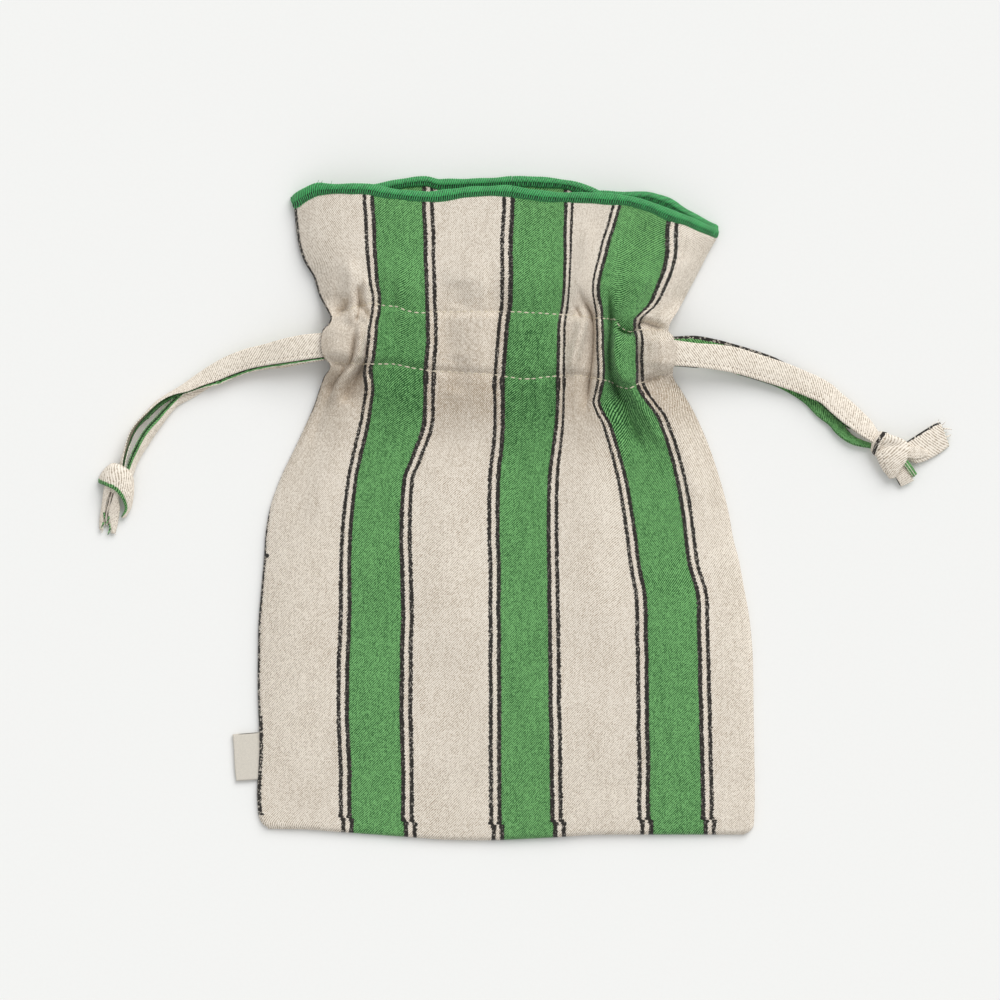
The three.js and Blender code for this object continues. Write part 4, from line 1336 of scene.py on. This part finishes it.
def label_material(name, colours):
    """Plain woven ribbon, with a painted shadow line along part of its top edge"""
    finish = Finish(name, roughness=0.8, sheen=0.1, specular=0.3)
    across, along = finish.flat()
    height, thread, grains = woven(finish, across, along, LABEL_PITCH)
    tone = clamped(thread * 0.9 + grains * 0.2 + 0.2)
    shade = tuple(channel * 0.88 for channel in colours.label)
    colour = finish.tint(tone, shade, colours.label)
    # Painted shadow: a dark line along part of the top edge, drawn in the ink colour
    painted_edge_shadow = along.above(17.7, 0.2) * across.within(2.5, 9.5, 2)
    colour = finish.tint(painted_edge_shadow * 0.85, colour, colours.ink)
    return finish.cover(colour, height, strength=0.35, distance=0.08)


def material(name, make, *arguments):
    """A material by name, made once"""
    return bpy.data.materials.get(name) or make(name, *arguments)


def colours():
    """The scene's colours"""
    return bpy.context.scene.pouch_colours


def linen():
    """The printed cloth of the pouch"""
    return material("printed_linen", linen_material, colours())


def tape_finish(name):
    """One of the tapes' faces. The plain one has needle holes beside its open edge."""
    holes = 0.75 if name == "tape_linen" else 0.0
    return material(name, tape_material, colours(), TAPE_STRIPES[name], holes)


def edging_thread(chain):
    """Overlock thread, with its chain at a place round the rim from 0 to 10"""
    name = f"edging_thread_{round(chain * 100)}"
    return material(name, edging_material, colours(), sizes(), chain)


def sewing_thread():
    """Thread of the channel's stitches"""
    return material("sewing_thread", thread_material, colours().thread, (0.56, 0.52, 0.42))


# Pieces of cloth and thread


def cloth_rows():
    """The rows of a panel's mesh, closer together at the foot and in the channel"""
    return spaced(0, MOUTH_LINE, 1.35, (3, 166, 178, 190, 202), 0.65, 6)


def linen_piece(name, columns, rows, place, start=0):
    """A thick grid piece of the printed cloth, whose print starts at a place across"""

    def flat(across, along):
        return as_cut(across + start, along)

    obj = grid_piece(name, columns, rows, place, flat)
    dress(obj, linen())
    return thicken(obj, sizes()["cloth_thickness"])


def panel_half(name, surface, rows, span):
    """One half of a panel, as a fine grid that follows the cloth's own threads"""
    step = sizes()["mesh_step"] * (1 if surface is front_point else 1.5)
    columns = spaced(*span, step, (-HALF_WIDTH, HALF_WIDTH), 0.3, 2.6)
    return linen_piece(name, columns, rows, surface)


def build_panel(name, surface):
    """Both halves of a panel, which stand for its solid"""
    made = halves(f"{name}_cloth", surface, cloth_rows(), panel_half)
    for obj, width in zip(made, (HALF_WIDTH + SPLIT, HALF_WIDTH - SPLIT)):
        width * MM
    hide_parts(f"{name}_panel")


def strip_half(name, surface, rows, span):
    """One half of a casing strip"""
    columns = np.arange(max(span[0], STRIP_LEFT), min(span[1], STRIP_RIGHT) + 0.5, 1.0)
    return linen_piece(name, columns, rows, surface)


def rim_half(name, surface, chain, span):
    """One half of the overlocked rim: a flattened tube with the thread's turns on it, and a
    chain of small holes. Places round the tube go from 0, towards the mouth, to 10."""
    size = sizes()
    ends = np.linspace(*span, 300)
    run = run_along(surface(ends, np.full_like(ends, MOUTH_LINE)))
    steps = int(run[-1] / (size["wrap_pitch"] / 7))
    even = np.linspace(0, run[-1], steps)
    across_stations = np.interp(even, run, ends)
    centre = surface(across_stations, np.full_like(across_stations, MOUTH_LINE))
    centre[:, 1] -= RIM_INSET
    normal = surface_normal(surface, across_stations, np.full_like(across_stations, MOUTH_LINE - 1))
    ahead = unit(np.gradient(centre, axis=0))
    beyond = unit(np.cross(normal, ahead))
    normal = np.cross(ahead, beyond)
    leftmost = span[0] < SPLIT
    end_run = even if leftmost else run[-1] - even
    closing = np.sqrt(1 - (1 - np.clip(end_run / RIM_END, 0.02, 1)) ** 2)
    outer = -1 if leftmost else 1
    stout = 1 + (0.3 * (1 - smooth(even, 1, 24)) if leftmost else 0)
    wobble = 0.14 * np.sin(even / 4.3) + 0.1 * np.sin(even / 1.9 + 1)

    def place(angle, along):
        index = np.interp(along, even, np.arange(steps))
        low = np.clip(np.floor(index).astype(int), 0, steps - 1)
        turn = angle / 10 * 2 * math.pi
        turns = along / size["wrap_pitch"]
        rib = np.abs(np.sin(math.pi * (turns + angle * 0.5))) ** 0.8
        pit = bell(angle, chain, 0.55) * bell(turns % 1.0, 0.37, 0.22)
        ridge = bell(angle, chain - 0.95, 0.4) + bell(angle, chain + 0.95, 0.4)
        swell = 1 + 0.2 * (rib - 0.6) - 0.42 * pit + 0.1 * ridge
        wide = (size["edging_width"] / 2 + wobble[low]) * (closing * stout)[low] * swell
        thick = size["edging_thickness"] / 2 * closing[low] * swell
        point = centre[low] + beyond[low] * (np.cos(turn) * wide)[:, None]
        point += normal[low] * (np.sin(turn) * thick)[:, None]
        return point + np.array([outer * 0.5, 0, 0]) * (1 - smooth(end_run[low], 0, 3))[:, None]

    obj = close_tube(grid_piece(name, np.linspace(0, 10, 25), even, place, as_wound))
    return dress(obj, edging_thread(chain))


def stitch_row_half(name, surface, row, span):
    """Stitches of one row on one half, each a small capsule that dips at its ends"""
    along, side = row
    size = sizes()
    reach = np.clip(np.array(span), -HALF_WIDTH + 4, HALF_WIDTH - 2)
    fine = np.linspace(*reach, 600)
    run = run_along(surface(fine, np.full_like(fine, along)))
    count = int(run[-1] // size["stitch_pitch"])
    chance = random.Random(round(along * 10 + span[0]))
    bm = bmesh.new()
    for index in range(count):
        middle = (index + 0.5) * size["stitch_pitch"] + chance.uniform(-0.12, 0.12)
        half = size["stitch_length"] / 2 * chance.uniform(0.88, 1.08)
        places = np.interp([middle - half, middle, middle + half], run, fine)
        points = surface(places, np.full(3, along) + chance.uniform(-0.08, 0.08))
        out = surface_normal(surface, places[1:2], np.array([along]))[0] * side
        ahead = unit(points[2] - points[0])
        wide = unit(np.cross(out, ahead))
        out = np.cross(ahead, wide)
        centre = points[1] + out * STITCH_RAISE
        axes = np.array([ahead * half, wide * STITCH_HALF_WIDTH, out * STITCH_HALF_HEIGHT]) * MM
        start = Matrix.Rotation(math.pi / 2, 4, "Y")
        made = bmesh.ops.create_uvsphere(bm, u_segments=8, v_segments=6, radius=1, matrix=start)
        for vertex in made["verts"]:
            x, y, z = vertex.co
            blunt = abs(x) ** 2.4
            shape = np.array([x, y * (1.15 - 0.3 * blunt), z - 1.3 * blunt])
            vertex.co = Vector(centre * MM + shape @ axes)
    return dress(finished(name, closed_mesh(name, bm)), sewing_thread())


def seam_strip(name, rows, edge):
    """A serged seam allowance inside the pouch, beside one edge"""

    def place(across, along):
        x = edge(along)
        inward = -np.sign(x)
        base = back_level(along) + 0.55 + SEAM_LIFT
        wave = 0.18 * np.sin(along / 3.7) + 0.1 * np.sin(along / 1.7 + across)
        return np.stack([x + inward * (1.6 + across), along - MIDDLE, base + wave], axis=1)

    return linen_piece(name, np.linspace(0, 6, 9), rows, place, 30)


# Tapes


def tape_faces(obj, hand, thickness, outer, inner):
    """Gives a tape its thickness downwards and its two finishes. hand is 1 where its grid
    already faces up, and -1 where it has to be turned over."""
    if hand < 0:
        obj.data.flip_normals()
    dress(obj, tape_finish(outer))
    return thicken(obj, thickness, -1, tape_finish(inner))


def folded_tape(name, edges, openings, finishes, settle=None):
    """A tape folded lengthwise. Each row of edges is a place on the fold and one between the
    lips. Each row of openings is half the gap between the lips, how far the layers bulge, and
    how far the lower one reaches past the upper. finishes are its outer and inner ones."""
    size = sizes()
    width = size["tape_width"]
    fold = edges[:, :3]
    lips = edges[:, 3:]
    path = (fold + lips) / 2
    run = run_along(path)
    ahead = unit(np.gradient(path, axis=0))
    wide = np.linalg.norm(fold - lips, axis=1)
    turned = unit(fold - lips)
    out = unit(np.cross(ahead, turned))
    hand = 1 if out[0, 2] > 0 else -1
    half = size["tape_thickness"] + 0.08

    def place(across, along):
        index = nearest(run, along)
        gap, bulge, reach = openings[index].T
        side = np.sign(across)
        from_fold = np.abs(across)
        beyond = np.clip(from_fold - width, 0, None) / 1.7 * np.clip(reach, 0, None)
        shortened = np.where(side < 0, np.clip(reach, None, 0), 0)
        walked = np.clip(from_fold / width, None, 1) * (wide[index] + shortened) + beyond
        arc = np.clip(walked / (half * math.pi / 2), 0, 1) * math.pi / 2
        inward = half * (1 - np.cos(arc)) + np.clip(walked - half * math.pi / 2, 0, None)
        share = np.clip(from_fold / width, 0, 1)
        away = half * np.sin(arc) + (gap - half) * smooth(share, 0.2, 1)
        away += bulge * np.sin(math.pi * share)
        waver = 0.10 * np.sin(along / 5.3 + from_fold / 3) + 0.06 * np.sin(along / 2.1)
        seam = -0.10 * bell(from_fold, 6.4, 0.45) * side
        point = fold[index] - turned[index] * inward[:, None]
        point += out[index] * hand * (side * away + waver + seam)[:, None]
        if settle:
            point = settle(point)
        point[:, 2] = np.maximum(point[:, 2], 0.06)
        return point

    lower = [-9.7, -9.1, -8.5, -8, -7.2, -6.7, -6.4, -6.1, -5, -4, -3, -2, -1.2, -0.8, -0.5, -0.25]
    columns = np.array([*lower, 0, *(-place for place in reversed(lower[3:]))])
    obj = grid_piece(name, columns, run, place, as_wound)
    return tape_faces(obj, hand, size["tape_thickness"], *finishes)


def tail_openings(name, count):
    """The rows of openings of a free tail"""
    places, *values = np.array(TAIL_OPENINGS[name], float).T
    share = np.linspace(0, 1, count)
    return np.stack([np.interp(share, places, value) for value in values], axis=1)


def exit_point(side, out, down, above):
    """A place given from where a tape leaves the channel"""
    x, up = EXIT[side]
    return [x + side * out, up - down - MIDDLE, above]


def tail_route(name, side, level):
    """The line that a free tail follows from the channel to its knot"""
    points = [exit_point(side, 0, 0, level), exit_point(side, 4.3, 0, level)]
    points += [exit_point(side, *place) for place in TAIL_ROUTES[name]]
    return spline(points, 130)


def loop_edges(side, label):
    """The two edges of a tape inside the channels, from its front exit round to the back one"""
    front, back = TAPE_LEVELS[side]
    exit_x = TAIL_EDGES[f"{label}_front_tail"][0][0]
    lane = [[exit_x, EXIT[side][1]], *TAPE_LANES[side]]
    far, turn_up = lane[-1]
    radius = (front - back) / 2
    points = [[x, up - MIDDLE, front] for x, up in lane]
    points[0][2] -= 0.5
    for step in range(9):
        angle = math.pi * step / 8
        reach = far - side * radius * math.sin(angle)
        points.append([reach, turn_up - MIDDLE, back + radius * (1 + math.cos(angle))])
    points += [[x, up - MIDDLE, back] for x, up in reversed(lane)]
    path = spline(points, 300)
    half = sizes()["tape_width"] / 2
    rows = []
    for x, y, z in path:
        which = "front" if z > (front + back) / 2 else "back"
        first = TAIL_EDGES[f"{label}_{which}_tail"][0]
        share = smooth((exit_x - x) * side, 0, 14)
        high = mix(max(first[1], first[4]), y + half, share)
        low = mix(min(first[1], first[4]), y - half, share)
        rows.append([x, high, z, x, low, z])
    return np.array(rows)


def settle_in_channel(side):
    """Gives a function that lays the tape's points between the cloth and its casing strips"""
    front, back = TAPE_LEVELS[side]
    exit_x = EXIT[side][0]
    depth = TAPE_DEPTH[side] + 0.25

    def settle(point):
        x = point[:, 0]
        z = point[:, 2]
        inside = smooth((exit_x - x) * side, 0, 12)
        upper = front_roof[side](x) - depth + z - front
        lower = back_ground[side](x) + depth + z - back
        share = np.clip((z - back - 1) / (front - back - 2), 0, 1)
        point[:, 2] = mix(z, mix(lower, upper, share), inside)
        return point

    return settle


def tape_band(name, bulge, start, outer, inner, first, second):
    """A strip of tape between its first and second edge, crowned between them. Its weave runs
    from start, and outer and inner name its finishes."""
    one = spline(first, 40)
    two = spline(second, 40)
    middle = (one + two) / 2
    run = run_along(middle)
    ahead = unit(np.gradient(middle, axis=0))
    out = unit(np.cross(unit(two - one), ahead))
    hand = 1 if out[:, 2].sum() > 0 else -1

    def place(across, along):
        index = nearest(run, along)
        point = mix(one[index], two[index], across[:, None])
        crowned = (4 * across * (1 - across)) ** 0.7
        point = point + out[index] * (hand * bulge * crowned)[:, None]
        point[:, 2] = np.maximum(point[:, 2], 0.3)
        return point

    def flat(across, along):
        return np.stack([along + start, mix(0.2, 8.0, across)], axis=1)

    obj = grid_piece(name, np.linspace(0, 1, 15), run, place, flat)
    return tape_faces(obj, hand, 0.5, outer, inner)


def lump(name, centre, radii, angle):
    """The tight middle of a knot, under its wraps"""
    bm = bmesh.new()
    turned = Matrix.Translation(Vector(centre) * MM) @ Matrix.Rotation(math.radians(angle), 4, "Z")
    bmesh.ops.create_uvsphere(bm, u_segments=32, v_segments=20, radius=1)
    for vertex in bm.verts:
        x, y, z = vertex.co
        crease = 1 - 0.08 * math.exp(-((x * 2.6) ** 2)) - 0.05 * math.sin(5 * math.atan2(y, x))
        place = Vector((x * radii[0], y * radii[1], z * radii[2])) * crease * MM
        vertex.co = turned @ place
    mesh = closed_mesh(name, bm)
    places = vertex_places(mesh) / MM
    add_flat(mesh, np.stack([places[:, 0], 1 + (places[:, 1] % 5)], axis=1))
    return dress(finished(name, mesh), tape_finish("tape_linen"))


def threads(name, starts, length, seed, radius=0.16):
    """Loose thread ends: [x, y, z, heading in degrees]"""
    chance = random.Random(seed)
    bm = bmesh.new()
    for x, y, z, heading in starts:
        angle = math.radians(heading + chance.uniform(-20, 20))
        ahead = Vector((math.cos(angle), math.sin(angle), chance.uniform(-0.15, 0.25)))
        sway = Vector((-ahead.y, ahead.x, 0)) * chance.uniform(-0.35, 0.35)
        place = Vector((x, y, z))
        reach = length * chance.uniform(0.5, 1.1)
        ring = bmesh.ops.create_circle(bm, segments=6, radius=radius * MM)["verts"]
        aim = ahead.to_track_quat("Z", "Y").to_matrix().to_4x4()
        bmesh.ops.transform(bm, matrix=Matrix.Translation(place * MM) @ aim, verts=ring)
        edges = list({edge for vertex in ring for edge in vertex.link_edges})
        for step in range(1, 6):
            share = step / 5
            grown = bmesh.ops.extrude_edge_only(bm, edges=edges)["geom"]
            ring = [part for part in grown if isinstance(part, bmesh.types.BMVert)]
            edges = [part for part in grown if isinstance(part, bmesh.types.BMEdge)]
            edges = [edge for edge in edges if all(vertex in ring for vertex in edge.verts)]
            move = (ahead + sway * share * 2) * (reach / 5) * MM
            bmesh.ops.translate(bm, vec=move, verts=ring)
            middle = sum((vertex.co for vertex in ring), Vector()) / len(ring)
            for vertex in ring:
                vertex.co = middle + (vertex.co - middle) * 0.86
    bmesh.ops.holes_fill(bm, edges=[edge for edge in bm.edges if edge.is_boundary], sides=0)
    mesh = closed_mesh(name, bm)
    add_flat(mesh, vertex_places(mesh)[:, :2] / MM)
    return finished(name, mesh)


# One operator for each group of pieces


class PouchOperator:
    """What the operators share"""

    bl_options = {"REGISTER", "UNDO"}


class POUCH_OT_front(PouchOperator, bpy.types.Operator):
    """Build the front panel, gathered at the neck and folded over itself in the channel"""

    bl_idname = "pouch.front_panel"
    bl_label = "Front Panel"

    def execute(self, context):
        build_panel("front", front_point)
        return {"FINISHED"}


class POUCH_OT_back(PouchOperator, bpy.types.Operator):
    """Build the back panel, which lies on the table"""

    bl_idname = "pouch.back_panel"
    bl_label = "Back Panel"

    def execute(self, context):
        build_panel("back", back_point)
        return {"FINISHED"}


class POUCH_OT_casings(PouchOperator, bpy.types.Operator):
    """Build the casing strips inside the two panels"""

    bl_idname = "pouch.casings"
    bl_label = "Casing Strips"

    def execute(self, context):
        rows = np.linspace(CHANNEL_START + STRIP_INSET, CHANNEL_END - STRIP_INSET, 26)
        strips = {
            "front_casing": (front_casing_point, FRONT_STRIP_SHARE),
            "back_casing": (back_casing_point, BACK_STRIP_SHARE),
        }
        for name, (surface, share) in strips.items():
            made = halves(f"{name}_strip", surface, rows, strip_half)
            for obj, width in zip(made, (SPLIT - STRIP_LEFT, STRIP_RIGHT - SPLIT)):
                width * share * MM
            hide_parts(name)
        return {"FINISHED"}


class POUCH_OT_edging(PouchOperator, bpy.types.Operator):
    """Build the overlocked green rims of the mouth, with their frayed thread ends"""

    bl_idname = "pouch.mouth_edging"
    bl_label = "Mouth Edging"

    def execute(self, context):
        front = halves("front_rim", front_point, FRONT_CHAIN, rim_half)
        back = halves("back_rim", back_point, BACK_CHAIN, rim_half)
        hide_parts("front_mouth_edging")
        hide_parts("back_mouth_edging")
        fray = threads("rim_thread_ends", RIM_ENDS, 2.0, 3)
        bend_with_side(dress(fray, edging_thread(FRONT_CHAIN)))
        return {"FINISHED"}


class POUCH_OT_stitches(PouchOperator, bpy.types.Operator):
    """Sew the rows of stitches that close the channels"""

    bl_idname = "pouch.stitching"
    bl_label = "Channel Stitching"

    def execute(self, context):
        rows = [
            ("front_upper", front_point, (CHANNEL_END, 1)),
            ("front_lower", front_point, (CHANNEL_START, 1)),
            ("back_upper", back_point, (CHANNEL_END, -1)),
            ("back_lower", back_point, (CHANNEL_START, -1)),
        ]
        for name, surface, row in rows:
            made = halves(f"{name}_stitches", surface, row, stitch_row_half)
            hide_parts(f"{name}_stitching")
        return {"FINISHED"}


class POUCH_OT_seams(PouchOperator, bpy.types.Operator):
    """Build the seam allowances folded inside"""

    bl_idname = "pouch.seams"
    bl_label = "Seam Allowances"

    def execute(self, context):
        lower = np.linspace(12, 165, 150)
        uppers = {"left": np.linspace(209, 240, 36), "right": np.linspace(209, 226, 24)}
        for side, edge in (("left", edge_left), ("right", edge_right)):
            body = seam_strip(f"{side}_side_allowance", lower, edge)
            mouth = seam_strip(f"{side}_mouth_allowance", uppers[side], edge)
            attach(body, f"{side}_side")
            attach(mouth, f"{side}_side")
            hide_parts(f"{side}_side_seam")
            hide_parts(f"{side}_mouth_seam")

        def place(across, along):
            y = bottom_row(across) + 1.8 + along - MIDDLE
            wave = 0.12 * np.sin(across / 4.1) + 0.08 * np.sin(across / 1.9 + along)
            return np.stack([across, y, 1.1 + wave], axis=1)

        columns = np.linspace(-88, 88, 160)
        foot = linen_piece("bottom_allowance", columns, np.linspace(0, 6, 9), place)
        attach(foot, "pouch")
        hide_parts("bottom_seam")
        return {"FINISHED"}


class POUCH_OT_knots(PouchOperator, bpy.types.Operator):
    """Tie the knots at the ends of the tapes, with their cut and frayed ends"""

    bl_idname = "pouch.knots"
    bl_label = "Knots"

    def execute(self, context):
        for side in KNOT_CORES:
            self.tie(side)
        return {"FINISHED"}

    def tie(self, side):
        """One knot: its core, its bands of tape and the frayed threads of its two cut ends"""
        core = lump(f"{side}_knot_core", *KNOT_CORES[side])
        bands = [name for name in KNOT_BANDS if name.startswith(side)]
        made = [core, *(tape_band(name, *KNOT_BANDS[name]) for name in bands)]
        fray = threads(f"{side}_frayed_threads", FRAYED_ENDS[side], 1.8, 5)
        made.append(dress(fray, tape_finish("tape_linen")))
        green = threads(f"{side}_green_threads", GREEN_ENDS[side], 3.2, 8, 0.4)
        made.append(dress(green, tape_finish("tape_green")))
        for obj in made:
            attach(obj, f"{side}_string")
        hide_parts(f"{side}_knot")
        for which in ("front", "back"):
            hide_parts(f"{side}_{which}_end")
        bpy.context.scene["knot_pieces_" + side] = [obj.name for obj in made]


class POUCH_OT_tapes(PouchOperator, bpy.types.Operator):
    """Lay the drawstring tapes through the channels and out to their knots"""

    bl_idname = "pouch.drawstrings"
    bl_label = "Drawstring Tapes"

    def execute(self, context):
        for side, label in SIDES:
            front, back = TAPE_LEVELS[side]
            self.lay_loop(side, label)
            knot_pieces = list(context.scene["knot_pieces_" + label])
            self.lay_tail(side, label, "front", front, knot_pieces)
            self.lay_tail(side, label, "back", back, [])
        return {"FINISHED"}

    def lay_loop(self, side, label):
        """The part of a tape that lies in the channels"""
        edges = loop_edges(side, label)
        openings = np.tile([0.42, 0.0, 0.1], (len(edges), 1))
        settle = settle_in_channel(side)
        finishes = ("tape_linen", "tape_inside")
        tape = folded_tape(f"{label}_channel_tape", edges, openings, finishes, settle)
        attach(tape, f"{label}_string")
        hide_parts(f"{label}_tape_loop")

    def lay_tail(self, side, label, which, level, with_pieces):
        """A free tail, from its channel at a level to the knot. with_pieces, the pieces on its end,
        is not used.
        """
        name = f"{label}_{which}_tail"
        edges = spline(TAIL_EDGES[name], 150)
        openings = tail_openings(name, len(edges))
        tape = folded_tape(f"{label}_{which}_tape_tail", edges, openings, TAIL_FINISHES[name])
        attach(tape, f"{label}_string")
        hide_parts(name)
        route = tail_route(name, side, level)
        sizes()["tape_width"] * MM


class POUCH_OT_label(PouchOperator, bpy.types.Operator):
    """Fold the bare label into the left seam"""

    bl_idname = "pouch.label"
    bl_label = "Side Label"

    def execute(self, context):
        def place(across, along):
            side = np.sign(across)
            from_fold = np.abs(across)
            half = 0.28
            arc = np.clip(from_fold / (half * math.pi / 2), 0, 1) * math.pi / 2
            straight = np.clip(from_fold - half * math.pi / 2, 0, None)
            inward = half - half * np.cos(arc) + straight
            fold_x = mix(-102.9, -104.3, along / LABEL_HEIGHT) - 0.1 * np.sin(along / 3)
            share = inward / LABEL_REACH
            x = fold_x + inward * (-94.0 - fold_x) / LABEL_REACH
            y = mix(20.6, 21.2, share) + along * mix(0.99, 1.0, share) - MIDDLE
            opened = smooth(from_fold, 0.4, 5) * (1 - smooth(from_fold, 6, 10))
            z = 0.62 + side * (half * np.sin(arc) + 0.16 * opened)
            z += 0.22 * (1 - from_fold / 10) * (1 + np.sin(along / 7.5)) + 0.08 * (side > 0)
            return np.stack([x, y, z], axis=1)

        stations = [-10.2, -8, -6, -4, -2, -1, -0.44, -0.3, -0.15, 0, 0.15, 0.3, 0.44, 1, 2, 4, 6]
        columns = np.array([*stations, 8, 10.2])
        rows = np.linspace(0, LABEL_HEIGHT, 30)
        obj = grid_piece("side_label_ribbon", columns, rows, place)
        dress(obj, material("label_ribbon", label_material, colours()))
        thicken(obj, 0.26)
        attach(obj, "label")
        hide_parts("side_label")
        return {"FINISHED"}


class POUCH_OT_stage(PouchOperator, bpy.types.Operator):
    """Set the pale floor, the soft light and the camera straight above"""

    bl_idname = "pouch.stage"
    bl_label = "Stage"

    def execute(self, context):
        scene = context.scene
        bm = bmesh.new()
        bmesh.ops.create_grid(bm, x_segments=1, y_segments=1, size=6)
        bmesh.ops.translate(bm, vec=Vector((0, 0, -0.15 * MM)), verts=bm.verts)
        floor = bpy.data.objects.new("floor", mesh_from("floor", bm))
        scene.collection.objects.link(floor)
        finish = Finish("pale_floor", roughness=0.95, specular=0.1)
        place = finish.add("ShaderNodeTexCoord", output="Object")
        grain = finish.noise(place, scale=900.0, detail=2.0)
        chosen = scene.pouch_colours.floor
        shade = tuple(channel * 0.99 for channel in chosen)
        floor.data.materials.append(finish.cover(finish.tint(grain, shade, chosen)))

        key = bpy.data.lights.new("key_light", "SUN")
        key.angle = LAMP_ANGLE
        key.energy = LAMP_STRENGTH
        lamp = bpy.data.objects.new("key_light", key)
        lamp.location = LAMP_PLACE
        lamp.rotation_euler = (-lamp.location).to_track_quat("-Z", "Y").to_euler()
        scene.collection.objects.link(lamp)

        world = bpy.data.worlds.new("soft_room")
        world.use_nodes = True
        scene.world = world
        tree = world.node_tree
        fill = tree.nodes["Background"]
        fill.inputs["Color"].default_value = ROOM_COLOUR
        fill.inputs["Strength"].default_value = ROOM_STRENGTH
        white = tree.nodes.new("ShaderNodeBackground")
        white.inputs["Color"].default_value = (1, 1, 1, 1)
        white.inputs["Strength"].default_value = 1.0
        rays = tree.nodes.new("ShaderNodeLightPath")
        seen = tree.nodes.new("ShaderNodeMixShader")
        tree.links.new(rays.outputs["Is Camera Ray"], seen.inputs[0])
        tree.links.new(fill.outputs[0], seen.inputs[1])
        tree.links.new(white.outputs[0], seen.inputs[2])
        tree.links.new(seen.outputs[0], tree.nodes["World Output"].inputs["Surface"])

        view = bpy.data.cameras.new("camera")
        view.lens = SENSOR * SEEN_FROM / SEEN_WIDTH
        view.sensor_width = SENSOR
        view.clip_end = 20
        camera = bpy.data.objects.new("camera", view)
        camera.location = CAMERA_PLACE
        scene.collection.objects.link(camera)
        scene.camera = camera
        scene.view_settings.view_transform = "Standard"
        return {"FINISHED"}


OPERATORS = (
    POUCH_OT_front,
    POUCH_OT_back,
    POUCH_OT_casings,
    POUCH_OT_edging,
    POUCH_OT_stitches,
    POUCH_OT_seams,
    POUCH_OT_knots,
    POUCH_OT_tapes,
    POUCH_OT_label,
    POUCH_OT_stage,
)


class POUCH_PT_panel(bpy.types.Panel):
    """Sizes, colours and pieces of the pouch"""

    bl_idname = "POUCH_PT_panel"
    bl_label = "Drawstring Pouch"
    bl_space_type = "VIEW_3D"
    bl_region_type = "UI"
    bl_category = "Pouch"

    def draw(self, context):
        layout = self.layout
        for operator in OPERATORS:
            layout.operator(operator.bl_idname)
        for group in (context.scene.pouch_sizes, context.scene.pouch_colours):
            box = layout.box()
            for name in type(group).__annotations__:
                box.prop(group, name)


CLASSES = (PouchSizes, PouchColours, *OPERATORS, POUCH_PT_panel)


def register():
    """Makes the properties, the operators and the panel known"""
    for each in CLASSES:
        bpy.utils.register_class(each)
    bpy.types.Scene.pouch_sizes = bpy.props.PointerProperty(type=PouchSizes)
    bpy.types.Scene.pouch_colours = bpy.props.PointerProperty(type=PouchColours)


def unregister():
    """Takes them away again"""
    del bpy.types.Scene.pouch_sizes
    del bpy.types.Scene.pouch_colours
    for each in reversed(CLASSES):
        bpy.utils.unregister_class(each)


def main():
    """Builds every piece and the stage"""
    register()
    bpy.ops.pouch.front_panel()
    bpy.ops.pouch.back_panel()
    bpy.ops.pouch.casings()
    bpy.ops.pouch.mouth_edging()
    bpy.ops.pouch.stitching()
    bpy.ops.pouch.seams()
    bpy.ops.pouch.knots()
    bpy.ops.pouch.drawstrings()
    bpy.ops.pouch.label()
    bpy.ops.pouch.stage()


if __name__ == "__main__":
    main()
